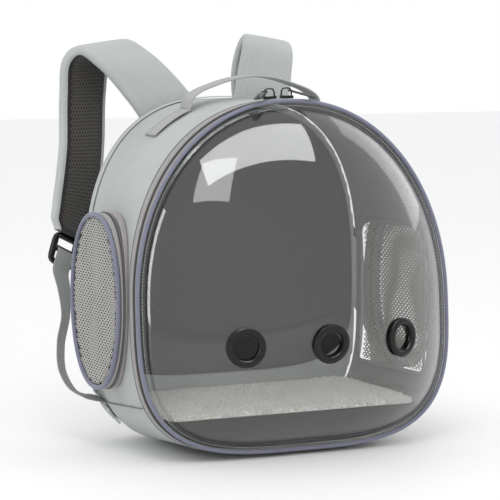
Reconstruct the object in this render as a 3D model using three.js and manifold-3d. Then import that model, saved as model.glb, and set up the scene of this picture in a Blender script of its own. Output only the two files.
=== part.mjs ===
// A pet carrier backpack: an arched fabric body with a clear domed zip door, raised mesh side
// pockets over mesh side windows, a floor pad with a plush mat, a carry handle and two padded
// shoulder straps. Millimetres, +Z up, the front faces -Y, and the origin is the middle of the
// flat underside of the base.
import * as THREE from 'three';
import { mergeVertices } from 'three/addons/utils/BufferGeometryUtils.js';
import Module from 'manifold-3d';

const wasm = await Module();
wasm.setup();

// Driving sizes of the body
const RIM_HALF_WIDTH = 177;
const RIM_TOP = 359.5;
const RIM_LOW = 6;
const RIM_LEAN = 4.55;
const BODY_DEPTH = 178;
const WALL = 2.4;
const SEAM_ANGLE = 28.4;
const CLEAR = 0.3;

// Front rim: piping, zip and tapes, as depths behind the rim plane and thicknesses
const PIPING_RADIUS = 2.1;
const PIPING_STAND = 0.2;
const DOOR_BAND_DEPTH = 10;
const COIL_WIDTH = 4;
const COIL_HEIGHT = 2;
const BODY_TAPE_WIDTH = 10;
const TAPE_THICK = 1;
const TRIM_LINE_WIDTH = 2;

// Domed window and its grommets
const DOME_THICK = 1.5;
const DOME_HEIGHT = 73.6;
const DOME_LIP = 5;
const DOME_CENTRE_UP = 150;
const DOME_ROUNDNESS = 0.75;
const GROMMET_SPACING = 88;
const GROMMET_UP = 121;
const GROMMET_OUTER = 20;
const GROMMET_HOLE = 12;
const GROMMET_SLEEVE = 1.8;
const GROMMET_FLANGE = 4.2;

// Side windows and pockets
const WINDOW_FRONT = 36;
const WINDOW_BACK_GAP = 10;
const WINDOW_LOW = 66;
const WINDOW_TOP = 225;
const WINDOW_CORNER = 28;
const WINDOW_HIDDEN = 9;
const MESH_THICK = 1.2;
const POCKET_STAND = 8.5;
const POCKET_FRONT = 43;
const POCKET_BACK_GAP = 9;
const POCKET_HALF_TALL = 91;
const POCKET_UP = 156;
const POCKET_PIPING_RADIUS = 2.6;
const POCKET_WALL = 1.6;
const POCKET_DENT = 2.2;
const POCKET_POWER = 2.15;

// Back and floor
const BACK_PAD_THICK = 8;
const BACK_EDGE_THICK = 3;
const BINDING_WIDTH = 9;
const BINDING_THICK = 1;
const BACK_BOARD_THICK = 3;
const BACK_BOARD_INSET = 10;
const BACK_BOARD_LOW = 62;
const FLOOR_PAD_TOP = 40;
const FLOOR_PAD_EASE = 0.7;
const FLOOR_PAD_FRONT_SHARE = 0.03;
const FLOOR_PAD_BACK_SHARE = 0.975;
const MAT_THICK = 8;
const MAT_OVERHANG = 4;
const MAT_CURL = 5;

// Shoulder straps
const STRAP_WIDTH = 66;
const STRAP_COVER_THICK = 4;
const STRAP_LINING_THICK = 7;
const STRAP_ATTACH_UP = 333;
const STRAP_PEAK = 415;
const STRAP_REACH = 48;
const WEBBING_WIDTH = 25;
const WEBBING_THICK = 1.6;
const BUCKLE_WIDTH = 38;
const BUCKLE_LENGTH = 35;
const BUCKLE_THICK = 5;
const BUCKLE_BAR = 6;
const BUCKLE_CORNER = 10;
const ANCHOR_DROP = 4;
const ANCHOR_LENGTH_ANGLE = 13;
const ANCHOR_INSET = 11;
const ANCHOR_THICK = 2;

// Carry handle
const HANDLE_WIDTH = 24;
const HANDLE_THICK = 2;
const HANDLE_HALF_SPAN = 76;
const HANDLE_RISE = 34;
const HANDLE_BACK = 115;
const HANDLE_PATCH_ANGLE = 17;

// Zip sliders and pulls
const SLIDER_MIDDLE = -7;
const SLIDER_SPACING = 19;
const SLIDER_LENGTH = 13;
const SLIDER_WIDTH = 9;
const SLIDER_THICK = 3;
const BRIDGE_RADIUS = 0.9;
const BRIDGE_RISE = 8;
const PULL_LENGTH = 33;
const PULL_WIDTH = 8.5;
const PULL_THICK = 1.4;
const PULL_EYE_HOLE = 2.4;
const PULL_EYE_UP = 4.8;
const POCKET_SLIDER_LENGTH = 10;

// Body sections from the front rim to the back edge. half, top and low are shares of the rim's half
// width, top height and low height; the powers set how square the shoulders and base corners are.
// The base is flat behind the third row, and rises in front so that the zip clears the floor.
const BODY_SECTIONS = [
  { at: 0.0, half: 0.999, top: 0.9994, low: 1.03, widest: 0.43, shoulder: 2.1, corner: 3.4 },
  { at: 0.16, half: 0.979, top: 0.997, low: 0.5, widest: 0.4265, shoulder: 2.21, corner: 3.545 },
  { at: 0.22, half: 0.975, top: 0.998, low: 0.15, widest: 0.425, shoulder: 2.25, corner: 3.6 },
  { at: 0.75, half: 0.945, top: 1.003, low: -0.7, widest: 0.42, shoulder: 2.6, corner: 3.9 },
  { at: 1.0, half: 0.93, top: 1.0, low: 0.7, widest: 0.42, shoulder: 2.75, corner: 3.9 },
];

// Shoulder strap lines. out is a share of the rim's half width, back a share of the strap's reach
// behind the back, rise a share of the climb from the seat to the peak, and turn and roll the
// angles of its width in plan and from level. The last row is the rounded lower end.
const LEFT_STRAP = [
  { out: -0.31, back: 0.0, rise: -0.16, turn: 0, roll: 16, width: 1 },
  { out: -0.34, back: 0.0, rise: 0.12, turn: 0, roll: 16, width: 1 },
  { out: -0.46, back: 0.04, rise: 0.47, turn: 3, roll: 14, width: 1 },
  { out: -0.63, back: 0.12, rise: 0.84, turn: 8, roll: 10, width: 1 },
  { out: -0.74, back: 0.34, rise: 1.0, turn: 14, roll: 7, width: 1 },
  { out: -0.8, back: 0.72, rise: 0.84, turn: 20, roll: 4, width: 1 },
  { out: -0.805, back: 0.96, rise: 0.36, turn: 24, roll: 0, width: 1 },
  { out: -0.81, back: 1.0, rise: -0.32, turn: 25, roll: 0, width: 1 },
  { out: -0.85, back: 0.96, rise: -0.98, turn: 24, roll: -10, width: 1 },
  { out: -0.895, back: 0.88, rise: -1.36, turn: 22, roll: -24, width: 0.9 },
  { out: -0.915, back: 0.84, rise: -1.47, turn: 22, roll: -28, width: 0.62 },
];
const RIGHT_STRAP = [
  { out: 0.27, back: 0.0, rise: -0.16, turn: 0, roll: 0, width: 1 },
  { out: 0.28, back: 0.0, rise: 0.15, turn: 0, roll: 0, width: 1 },
  { out: 0.31, back: 0.03, rise: 0.6, turn: 4, roll: -4, width: 1 },
  { out: 0.345, back: 0.12, rise: 0.95, turn: 10, roll: -8, width: 1 },
  { out: 0.36, back: 0.36, rise: 1.06, turn: 14, roll: -8, width: 1 },
  { out: 0.355, back: 0.72, rise: 0.92, turn: 18, roll: -6, width: 1 },
  { out: 0.345, back: 0.93, rise: 0.5, turn: 20, roll: -3, width: 1 },
  { out: 0.47, back: 1.0, rise: -0.2, turn: 4, roll: 10, width: 1 },
  { out: 0.7, back: 0.98, rise: -0.88, turn: -14, roll: 16, width: 1 },
  { out: 0.87, back: 0.9, rise: -1.34, turn: -22, roll: 24, width: 0.9 },
  { out: 0.905, back: 0.86, rise: -1.46, turn: -22, roll: 28, width: 0.62 },
];

// Webbing hang between a buckle and its anchor. along is the share of the way down, bow how far it
// swings out as a share of the rim's half width, and sag how far it hangs lower, of the same size.
const WEBBING_HANG = [
  { along: 0.12, bow: 0.005, sag: 0.015 },
  { along: 0.3, bow: 0.03, sag: 0.04 },
  { along: 0.5, bow: 0.1, sag: 0.06 },
  { along: 0.68, bow: 0.125, sag: 0.08 },
  { along: 0.84, bow: 0.09, sag: 0.07 },
  { along: 0.94, bow: 0.045, sag: 0.03 },
];
// The webbing turns part of the way below its buckle, and the rest close to its anchor.
const WEBBING_TURN = { first: 0.42, from: 0.19, held: 0.4, leaves: 0.6, ends: 0.84 };

// Free part of the handle, from an end to the middle, as shares of its half span and rise
const HANDLE_ARC = [
  { along: 0.995, rise: 0.14 },
  { along: 0.96, rise: 0.34 },
  { along: 0.84, rise: 0.54 },
  { along: 0.58, rise: 0.76 },
  { along: 0.3, rise: 0.93 },
  { along: 0.0, rise: 1.0 },
];

const ARCH_COLUMNS = 30;
const BASE_COLUMNS = 14;
const POCKET_COLUMNS = 24;
const STRAP_STEPS = 20;
const WEBBING_STEPS = 14;
const WINDOW_STEPS = 28;
const DEG = Math.PI / 180;
const FULL_TURN = 2 * Math.PI;
const MIDDLE_SHIFT = BODY_DEPTH / 2;

const vec = (x, y, z) => new THREE.Vector3(x, y, z);
const mix = (a, b, k) => a + (b - a) * k;
const spread = (from, to, steps) => Array.from({ length: steps + 1 }, (_, i) => mix(from, to, i / steps));

// Angles round the body: the arch from the right base seam over the top to the left one, then the
// base. Every wall and band shares them, so their facets lie parallel.
const SEAM_RIGHT = -SEAM_ANGLE * DEG;
const SEAM_LEFT = Math.PI + SEAM_ANGLE * DEG;
const ARCH_ANGLES = spread(SEAM_RIGHT, SEAM_LEFT, ARCH_COLUMNS);
const BASE_ANGLES = spread(SEAM_LEFT, SEAM_RIGHT + FULL_TURN, BASE_COLUMNS);
const ROUND_ANGLES = [...ARCH_ANGLES, ...BASE_ANGLES.slice(1, -1)];
const model = new THREE.Group();
// The body is laid out from the rim's lowest point and stands with its base middle at the origin.
model.position.y = -MIDDLE_SHIFT;

const COLOURS = {
  fabric: [0xc4c8c6, 0.9, 0],
  tape: [0xb3adaa, 0.85, 0],
  lavender: [0x8c8fae, 0.6, 0],
  mesh: [0xc2c0ba, 0.85, 0],
  dark: [0x4a4b4a, 0.9, 0],
  black: [0x151515, 0.3, 0],
  metal: [0x2a2a2c, 0.35, 0.8],
  plush: [0xe9e7e2, 1, 0],
  clear: [0x8d908f, 0.1, 0],
  webbing: [0x8f928f, 0.8, 0],
  lining: [0x35312f, 0.95, 0],
};

function addMesh(name, geometry, colour, parent = model) {
  const [color, roughness, metalness] = COLOURS[colour];
  const material = new THREE.MeshStandardMaterial({ color, roughness, metalness });
  const mesh = new THREE.Mesh(geometry, material);
  mesh.name = name;
  parent.add(mesh);
  return mesh;
}

function signedVolume(corners) {
  let volume = 0;
  for (let i = 0; i < corners.length; i += 3) {
    volume += corners[i].dot(corners[i + 1].clone().cross(corners[i + 2]));
  }
  return volume / 6;
}

// Joins equal-length sections into one closed solid, capped at its ends or closed on itself.
// A cap pairs the points from both ends of a section, so thin bent sections cap correctly.
function loft(sections, closed = false) {
  const corners = [];
  const tri = (a, b, c) => {
    const flat = a.distanceTo(b) < 1e-6 || b.distanceTo(c) < 1e-6 || c.distanceTo(a) < 1e-6;
    if (!flat) corners.push(a, b, c);
  };
  const count = sections[0].length;
  const spans = closed ? sections.length : sections.length - 1;
  for (let i = 0; i < spans; i += 1) {
    const one = sections[i];
    const two = sections[(i + 1) % sections.length];
    for (let j = 0; j < count; j += 1) {
      const k = (j + 1) % count;
      // The shorter diagonal, so both faces of a twisted strip fold the same way
      if (one[j].distanceTo(two[k]) < one[k].distanceTo(two[j]) - 1e-6) {
        tri(one[j], one[k], two[k]);
        tri(one[j], two[k], two[j]);
      } else {
        tri(one[j], one[k], two[j]);
        tri(one[k], two[k], two[j]);
      }
    }
  }
  if (!closed) {
    for (const [section, first] of [[sections[0], true], [sections[sections.length - 1], false]]) {
      for (let j = 0; j < count / 2 - 1; j += 1) {
        const [a, b, c, d] = [section[j], section[j + 1], section[count - 2 - j], section[count - 1 - j]];
        const quad = first ? [[a, c, b], [a, d, c]] : [[a, b, c], [a, c, d]];
        quad.forEach((t) => tri(...t));
      }
    }
  }
  if (signedVolume(corners) < 0) {
    for (let i = 0; i < corners.length; i += 3) {
      [corners[i + 1], corners[i + 2]] = [corners[i + 2], corners[i + 1]];
    }
  }
  return new THREE.BufferGeometry().setFromPoints(corners);
}

function toManifold(geometry) {
  const bare = geometry.clone();
  bare.deleteAttribute('normal');
  bare.deleteAttribute('uv');
  const merged = mergeVertices(bare, 1e-4);
  const vertProperties = new Float32Array(merged.attributes.position.array);
  const triVerts = new Uint32Array(merged.index.array);
  return new wasm.Manifold(new wasm.Mesh({ numProp: 3, vertProperties, triVerts }));
}

function toGeometry(solid) {
  const mesh = solid.getMesh();
  const geometry = new THREE.BufferGeometry();
  geometry.setAttribute('position', new THREE.BufferAttribute(new Float32Array(mesh.vertProperties), 3));
  geometry.setIndex(new THREE.BufferAttribute(new Uint32Array(mesh.triVerts), 1));
  return geometry.toNonIndexed();
}

function subtract(geometry, ...cutters) {
  return toGeometry(cutters.reduce((solid, cutter) => solid.subtract(toManifold(cutter)), toManifold(geometry)));
}

function join(geometry, ...others) {
  return toGeometry(others.reduce((solid, other) => solid.add(toManifold(other)), toManifold(geometry)));
}

function intersect(geometry, other) {
  return toGeometry(toManifold(geometry).intersect(toManifold(other)));
}

// Values of the body section at a share of the depth, read between the rows of the table
function sectionAt(share) {
  const last = BODY_SECTIONS.length - 1;
  let i = 0;
  while (i < last - 1 && share > BODY_SECTIONS[i + 1].at) i += 1;
  const [a, b] = [BODY_SECTIONS[i], BODY_SECTIONS[i + 1]];
  const k = (share - a.at) / (b.at - a.at);
  return {
    half: mix(a.half, b.half, k) * RIM_HALF_WIDTH,
    top: mix(a.top, b.top, k) * RIM_TOP,
    low: mix(a.low, b.low, k) * RIM_LOW,
    widest: mix(a.widest, b.widest, k) * RIM_TOP,
    shoulder: mix(a.shoulder, b.shoulder, k),
    corner: mix(a.corner, b.corner, k),
  };
}

function outlinePoint(section, angle) {
  const power = 2 / (Math.sin(angle) >= 0 ? section.shoulder : section.corner);
  const x = Math.sign(Math.cos(angle)) * section.half * Math.abs(Math.cos(angle)) ** power;
  const reach = Math.sin(angle) >= 0 ? section.top - section.widest : section.low - section.widest;
  const z = section.widest + reach * Math.abs(Math.sin(angle)) ** power;
  return { x, z: Math.max(z, 0) };
}

const leanBack = (z) => (z - RIM_LOW) * Math.tan(RIM_LEAN * DEG);
const rimBack = (angle) => leanBack(outlinePoint(sectionAt(0), angle).z);
const depthAt = (angle) => BODY_DEPTH - rimBack(angle);

// A point of the body's outer surface, at an angle round it and a depth behind the rim plane
function surfacePoint(angle, depth) {
  const share = depth / depthAt(angle);
  const point = outlinePoint(sectionAt(share), angle);
  return vec(point.x, rimBack(angle) + depth, point.z);
}

function surfaceNormal(angle, depth) {
  const turn = 0.02;
  const step = 1.5;
  const around = surfacePoint(angle + turn, depth).sub(surfacePoint(angle - turn, depth));
  const along = surfacePoint(angle, depth + step).sub(surfacePoint(angle, depth - step));
  return along.cross(around).normalize();
}

// A point lifted off that surface along its normal
function skin(angle, depth, lift) {
  return surfacePoint(angle, depth).addScaledVector(surfaceNormal(angle, depth), lift);
}

// Angle round the body at which its surface has a given x on the upper side, at one depth
function angleForX(x, depth) {
  let [low, high] = [0, Math.PI];
  for (let i = 0; i < 40; i += 1) {
    const middle = (low + high) / 2;
    if (surfacePoint(middle, depth).x > x) low = middle;
    else high = middle;
  }
  return (low + high) / 2;
}

// Half width of the body's outer surface at a height and a place along the depth
function sideAt(back, up) {
  let [low, high] = [-Math.PI / 2, Math.PI / 2];
  for (let i = 0; i < 40; i += 1) {
    const middle = (low + high) / 2;
    if (surfacePoint(middle, back - rimBack(middle)).z < up) low = middle;
    else high = middle;
  }
  return surfacePoint(low, back - rimBack(low)).x;
}

// Closed band round the body between two depths and two lifts
function ringBand(near, far, bottom, top) {
  return loft(ROUND_ANGLES.map((angle) => bandSection(angle, near, far, bottom, top)), true);
}

function bandSection(angle, near, far, bottom, top) {
  return [skin(angle, near, bottom), skin(angle, near, top), skin(angle, far, top), skin(angle, far, bottom)];
}

// The shared angles that lie between two ends, with the ends themselves
function anglesBetween(from, to) {
  const [low, high] = [Math.min(from, to), Math.max(from, to)];
  const inside = [...ARCH_ANGLES, ...BASE_ANGLES.slice(1)].filter((angle) => angle > low && angle < high);
  const list = [low, ...inside, high];
  return from < to ? list : list.reverse();
}

// Shell of the body at a list of angles, from the zip to the back edge, between two lifts
const WALL_ROWS = [0, 0.12, 0.4, 0.72, 1];
function bodyShell(angles, outerLift, innerLift) {
  const sections = angles.map((angle) => {
    const depths = WALL_ROWS.map((row) => mix(bodyFront, depthAt(angle), row));
    const outer = depths.map((depth) => skin(angle, depth, outerLift));
    const inner = depths.map((depth) => skin(angle, depth, innerLift));
    return [...outer, ...inner.reverse()];
  });
  return loft(sections);
}

// The space inside the body as a solid, between two shares of its depth, a lift off the skin
function bodyCore(fromShare, toShare, lift) {
  const rows = [fromShare, ...WALL_ROWS.filter((row) => row > fromShare && row < toShare), toShare];
  const half = Math.floor(ROUND_ANGLES.length / 2);
  const bottomFirst = [...ROUND_ANGLES.slice(half), ...ROUND_ANGLES.slice(0, half)];
  return loft(rows.map((row) => bottomFirst.map((angle) => skin(angle, mix(bodyFront, depthAt(angle), row), lift))));
}

// Outline of the right window in depth and height: straight along the top, rounded at the back
function rightWindow(shrink) {
  const [front, back] = [WINDOW_FRONT + shrink, BODY_DEPTH - WINDOW_BACK_GAP - shrink];
  const [low, top] = [WINDOW_LOW + shrink, WINDOW_TOP - shrink];
  const corner = WINDOW_CORNER - shrink;
  const small = WINDOW_CORNER / 3 - shrink;
  const shape = new THREE.Shape();
  shape.moveTo(front + small, low);
  shape.lineTo(back - small, low);
  shape.quadraticCurveTo(back, low, back, low + small);
  shape.lineTo(back, top - corner);
  shape.quadraticCurveTo(back, top, back - corner, top);
  shape.lineTo(front + small, top);
  shape.quadraticCurveTo(front, top, front, top - small);
  shape.lineTo(front, low + small);
  shape.quadraticCurveTo(front, low, front + small, low);
  return shape;
}

// The left window is an oval that hides behind its pocket
function leftWindow(shrink) {
  const angles = spread(0, FULL_TURN, WINDOW_STEPS).slice(0, -1);
  return new THREE.Shape(angles.map((angle) => {
    const { back, up } = ovalPoint(angle, WINDOW_HIDDEN + shrink);
    return new THREE.Vector2(back, up);
  }));
}

function windowCutter(side, shrink) {
  const shape = side > 0 ? rightWindow(shrink) : leftWindow(shrink);
  const reach = RIM_HALF_WIDTH;
  const block = new THREE.ExtrudeGeometry(shape, { depth: reach, bevelEnabled: false, curveSegments: 5 });
  // The shape's own x and y become the depth and the height, and it is pushed out sideways.
  const turn = new THREE.Matrix4().makeBasis(vec(0, 1, 0), vec(0, 0, 1), vec(1, 0, 0));
  block.applyMatrix4(turn);
  block.translate(side > 0 ? reach / 2 : -reach * 1.5, 0, 0);
  return block;
}

const SEAM_GAP = (CLEAR / RIM_HALF_WIDTH) * 1.4;
const bandNear = PIPING_RADIUS + CLEAR;
const bandFar = bandNear + DOOR_BAND_DEPTH;
const bodyFront = bandFar + CLEAR;
const coilNear = bandFar + CLEAR / 2 - COIL_WIDTH / 2;
const coilFar = coilNear + COIL_WIDTH;
const tapeFar = coilFar + CLEAR + BODY_TAPE_WIDTH;

function addBody() {
  const arch = bodyShell(ARCH_ANGLES, 0, -WALL);
  addMesh('body_wall', subtract(arch, windowCutter(1, 0), windowCutter(-1, 0)), 'fabric');
  const inner = BASE_ANGLES.slice(1, -1);
  const baseAngles = [SEAM_LEFT + SEAM_GAP, ...inner, SEAM_RIGHT + FULL_TURN - SEAM_GAP];
  addMesh('base_panel', bodyShell(baseAngles, 0, -WALL), 'fabric');
  const middle = WALL / 2;
  const layer = bodyShell(ARCH_ANGLES, MESH_THICK / 2 - middle, -MESH_THICK / 2 - middle);
  addMesh('window_mesh_left', intersect(layer, windowCutter(-1, CLEAR)), 'mesh');
  addMesh('window_mesh_right', intersect(layer, windowCutter(1, CLEAR)), 'mesh');
}

function addRim() {
  const sections = [];
  const facets = 6;
  for (const angle of ROUND_ANGLES) {
    const ring = [];
    for (let j = 0; j < facets; j += 1) {
      const round = ((j + 0.5) / facets) * FULL_TURN;
      const lift = PIPING_STAND + PIPING_RADIUS * Math.sin(round);
      ring.push(skin(angle, PIPING_RADIUS * Math.cos(round), lift));
    }
    sections.push(ring);
  }
  addMesh('door_piping', loft(sections, true), 'lavender');
  addMesh('door_zip_tape', ringBand(bandNear, bandFar, -WALL, 0), 'tape');
  addMesh('zip_coil', ringBand(coilNear, coilFar, CLEAR, CLEAR + COIL_HEIGHT), 'metal');
  const tapeTop = CLEAR + TAPE_THICK;
  addMesh('body_zip_tape', ringBand(coilFar + CLEAR, tapeFar, CLEAR, tapeTop), 'tape');
  const lineFar = tapeFar + CLEAR + TRIM_LINE_WIDTH;
  addMesh('zip_trim_line', ringBand(tapeFar + CLEAR, lineFar, CLEAR, tapeTop + CLEAR), 'lavender');
}

const rimNormal = vec(0, -Math.cos(RIM_LEAN * DEG), Math.sin(RIM_LEAN * DEG));
const domeCentre = vec(0, leanBack(DOME_CENTRE_UP), DOME_CENTRE_UP);

// The dome's outer surface: a share of 1 is the foot of the dome inside its sewn lip, 0 its middle
function domeOuter(share, angle) {
  const foot = domeFoot(angle, DOME_LIP);
  const flat = domeCentre.clone().lerp(foot, share);
  const height = DOME_HEIGHT * Math.max(1 - share * share, 0) ** DOME_ROUNDNESS;
  return flat.addScaledVector(rimNormal, height);
}

// A point of the rim plane, a distance inside the piping
function domeFoot(angle, inside) {
  const rim = surfacePoint(angle, 0);
  const inward = domeCentre.clone().sub(rim).normalize();
  return rim.addScaledVector(inward, PIPING_RADIUS - PIPING_STAND + CLEAR + inside);
}

function domeNormal(share, angle) {
  const [turn, step] = [0.02, 0.01];
  if (share < step) return rimNormal.clone();
  const nearShare = Math.min(share, 1 - step);
  const around = domeOuter(nearShare, angle + turn).sub(domeOuter(nearShare, angle - turn));
  const outward = domeOuter(nearShare + step, angle).sub(domeOuter(nearShare - step, angle));
  return outward.cross(around).normalize();
}

const DOME_ROWS = [1, 0.975, 0.92, 0.82, 0.67, 0.47, 0.23, 0];
function domeShell() {
  const sections = [];
  for (const angle of ROUND_ANGLES) {
    const outer = DOME_ROWS.map((row) => domeOuter(row, angle));
    const inner = DOME_ROWS.map((row) => domeOuter(row, angle).addScaledVector(domeNormal(row, angle), -DOME_THICK));
    const lip = domeFoot(angle, 0);
    const lipBack = lip.clone().addScaledVector(rimNormal, -DOME_THICK);
    inner[0].copy(domeFoot(angle, DOME_LIP)).addScaledVector(rimNormal, -DOME_THICK);
    sections.push([lip, ...outer, ...inner.reverse(), lipBack]);
  }
  return loft(sections, true);
}

// The dome's point and normal that have a given x and height, and how far the sheet falls away
// from that tangent plane under a flange
function domeSeat(x, up) {
  let flat = new THREE.Vector2(x, up - DOME_CENTRE_UP);
  const wanted = flat.clone();
  let seat;
  for (let i = 0; i < 30; i += 1) {
    seat = domeOnRay(flat);
    const point = domeOuter(seat.share, seat.angle);
    flat.x += wanted.x - point.x;
    flat.y += wanted.y - (point.z - DOME_CENTRE_UP);
  }
  const point = domeOuter(seat.share, seat.angle);
  const normal = domeNormal(seat.share, seat.angle);
  let fall = 0;
  for (const round of spread(0, FULL_TURN, 16)) {
    const edge = domeOnRay(flat.clone().add(new THREE.Vector2(GROMMET_OUTER, 0).rotateAround(new THREE.Vector2(), round)));
    fall = Math.max(fall, -domeOuter(edge.share, edge.angle).sub(point).dot(normal));
  }
  return { point, normal, fall };
}

// The dome's share and angle under a point of its flat plan, given from the dome's middle
function domeOnRay(flat) {
  const polar = Math.atan2(flat.y, flat.x);
  let [low, high] = [polar - Math.PI / 2, polar + Math.PI / 2];
  const bearing = (angle) => {
    const foot = domeFoot(angle, DOME_LIP);
    return Math.sin(Math.atan2(foot.z - DOME_CENTRE_UP, foot.x) - polar);
  };
  for (let i = 0; i < 40; i += 1) {
    const middle = (low + high) / 2;
    if (bearing(middle) < 0) low = middle;
    else high = middle;
  }
  const foot = domeFoot(low, DOME_LIP);
  return { angle: low, share: flat.length() / Math.hypot(foot.x, foot.z - DOME_CENTRE_UP) };
}

function alongNormal(seat) {
  return new THREE.Quaternion().setFromUnitVectors(vec(0, 1, 0), seat.normal);
}

function grommetGeometry(fall) {
  const sleeve = GROMMET_HOLE + GROMMET_SLEEVE;
  const front = CLEAR;
  const back = -DOME_THICK - fall - 2 * CLEAR;
  const backFlange = GROMMET_FLANGE / 2;
  const profile = [
    [sleeve, back],
    [sleeve, front],
    [GROMMET_OUTER, front],
    [GROMMET_OUTER, front + GROMMET_FLANGE * 0.45],
    [GROMMET_OUTER * 0.93, front + GROMMET_FLANGE * 0.85],
    [GROMMET_OUTER * 0.78, front + GROMMET_FLANGE],
    [GROMMET_HOLE, front + GROMMET_FLANGE * 0.35],
    [GROMMET_HOLE, back - backFlange],
    [GROMMET_OUTER * 0.95, back - backFlange],
    [GROMMET_OUTER * 0.95, back],
    [sleeve, back],
  ];
  const points = profile.map(([radius, height]) => new THREE.Vector2(radius, height));
  const lathe = new THREE.LatheGeometry(points, 16);
  return outward(lathe);
}

// The same geometry with its faces turned to point out, as separate triangles
function outward(geometry) {
  const loose = geometry.index ? geometry.toNonIndexed() : geometry;
  const position = loose.attributes.position;
  const corners = [];
  for (let i = 0; i < position.count; i += 1) corners.push(new THREE.Vector3().fromBufferAttribute(position, i));
  if (signedVolume(corners) > 0) return new THREE.BufferGeometry().setFromPoints(corners);
  for (let i = 0; i < corners.length; i += 3) [corners[i], corners[i + 1]] = [corners[i + 1], corners[i]];
  return new THREE.BufferGeometry().setFromPoints(corners);
}

function addDome() {
  const seats = [-1, 0, 1].map((place) => domeSeat(place * GROMMET_SPACING, GROMMET_UP));
  const cutters = seats.map((seat) => {
    const radius = GROMMET_HOLE + GROMMET_SLEEVE + CLEAR;
    const cutter = new THREE.CylinderGeometry(radius, radius, 6 * GROMMET_FLANGE, 16);
    cutter.applyQuaternion(alongNormal(seat));
    return cutter.translate(seat.point.x, seat.point.y, seat.point.z);
  });
  addMesh('dome_window', subtract(domeShell(), ...cutters), 'clear');
  for (const [i, word] of ['left', 'centre', 'right'].entries()) {
    const mesh = addMesh(`grommet_${word}`, grommetGeometry(seats[i].fall), 'black');
    mesh.quaternion.copy(alongNormal(seats[i]));
    mesh.position.copy(seats[i].point);
  }
}

// The pocket fills the side between a depth behind the zip and a gap before the back edge, and its
// face stands out beyond the rim.
const pocketEnd = BODY_DEPTH - POCKET_BACK_GAP;
const pocketMiddle = (POCKET_FRONT + pocketEnd) / 2;
const pocketHalfLong = (pocketEnd - POCKET_FRONT) / 2;
const pocketTop = RIM_HALF_WIDTH + POCKET_STAND;

function ovalPoint(angle, inset) {
  const power = 2 / POCKET_POWER;
  const along = Math.sign(Math.cos(angle)) * Math.abs(Math.cos(angle)) ** power;
  const up = Math.sign(Math.sin(angle)) * Math.abs(Math.sin(angle)) ** power;
  return {
    back: pocketMiddle + (pocketHalfLong - inset) * along,
    up: POCKET_UP + (POCKET_HALF_TALL - inset) * up,
  };
}

// Oval ring of the pocket's side, between two distances from the body's middle plane
function pocketRing(side, inset, thick, outerX, innerX) {
  const sections = [];
  for (let i = 0; i < POCKET_COLUMNS; i += 1) {
    const angle = (i / POCKET_COLUMNS) * FULL_TURN;
    const rim = ovalPoint(angle, inset);
    const inner = ovalPoint(angle, inset + thick);
    sections.push([
      vec(side * outerX(angle, rim), rim.back, rim.up),
      vec(side * innerX(angle, rim), rim.back, rim.up),
      vec(side * innerX(angle, inner), inner.back, inner.up),
      vec(side * outerX(angle, inner), inner.back, inner.up),
    ]);
  }
  return loft(sections, true);
}

// The pocket face: a slightly crowned sheet with a soft dent low at the front
function pocketFace(side) {
  const rows = [1, 0.6, 0];
  const inset = 2 * POCKET_PIPING_RADIUS + CLEAR;
  const middle = pocketTop - POCKET_PIPING_RADIUS;
  const sections = [];
  for (let i = 0; i < POCKET_COLUMNS; i += 1) {
    const angle = (i / POCKET_COLUMNS) * FULL_TURN;
    const edge = ovalPoint(angle, inset);
    const layer = (offset) => rows.map((row) => {
      const back = mix(pocketMiddle, edge.back, row);
      const up = mix(POCKET_UP, edge.up, row);
      const dent = POCKET_DENT * (1 - row * row) * Math.sin(3 * angle + 1);
      return vec(side * (middle + offset + (row < 1 ? dent * row : 0)), back, up);
    });
    const outer = layer(MESH_THICK / 2);
    const inner = layer(-MESH_THICK / 2);
    sections.push([...outer, ...inner.reverse()]);
  }
  return loft(sections, true);
}

function pocketPiping(side) {
  const facets = 6;
  const sections = [];
  for (let i = 0; i < POCKET_COLUMNS; i += 1) {
    const angle = (i / POCKET_COLUMNS) * FULL_TURN;
    const ring = [];
    for (let j = 0; j < facets; j += 1) {
      const round = (j / facets) * FULL_TURN;
      const place = ovalPoint(angle, POCKET_PIPING_RADIUS * (1 - Math.cos(round)));
      const x = pocketTop - POCKET_PIPING_RADIUS + POCKET_PIPING_RADIUS * Math.sin(round);
      ring.push(vec(side * x, place.back, place.up));
    }
    sections.push(ring);
  }
  return loft(sections, true);
}

function addPocket(side, word) {
  const inset = POCKET_PIPING_RADIUS / 2;
  const outerEdge = pocketTop - 2 * POCKET_PIPING_RADIUS - CLEAR;
  const foot = (angle) => {
    const place = ovalPoint(angle, inset + POCKET_WALL / 2);
    return sideAt(place.back, place.up) + 2 * CLEAR;
  };
  const share = (k) => (angle) => mix(outerEdge, foot(angle), k);
  const gapped = (k) => (angle) => share(k)(angle) - CLEAR;
  const wallFoot = (angle, place) => sideAt(place.back, place.up) + CLEAR;
  addMesh(`pocket_piping_${word}`, pocketPiping(side), 'lavender');
  addMesh(`pocket_mesh_${word}`, pocketFace(side), 'mesh');
  const outerBand = pocketRing(side, inset, POCKET_WALL, () => outerEdge, share(0.36));
  addMesh(`pocket_outer_band_${word}`, outerBand, 'tape');
  const coil = pocketRing(side, inset / 2, POCKET_WALL, gapped(0.36), share(0.6));
  addMesh(`pocket_coil_${word}`, coil, 'metal');
  const innerBand = pocketRing(side, inset, POCKET_WALL, gapped(0.6), wallFoot);
  addMesh(`pocket_inner_band_${word}`, innerBand, 'tape');
}

// Filled outline of the back edge at a given inset and height range
function backOutline(inset, lowest = 0) {
  const section = sectionAt(1);
  const inner = {
    ...section,
    half: section.half - inset,
    top: section.top - inset,
    low: Math.max(section.low + inset, lowest),
  };
  return ROUND_ANGLES.map((angle) => outlinePoint(inner, angle));
}

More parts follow.
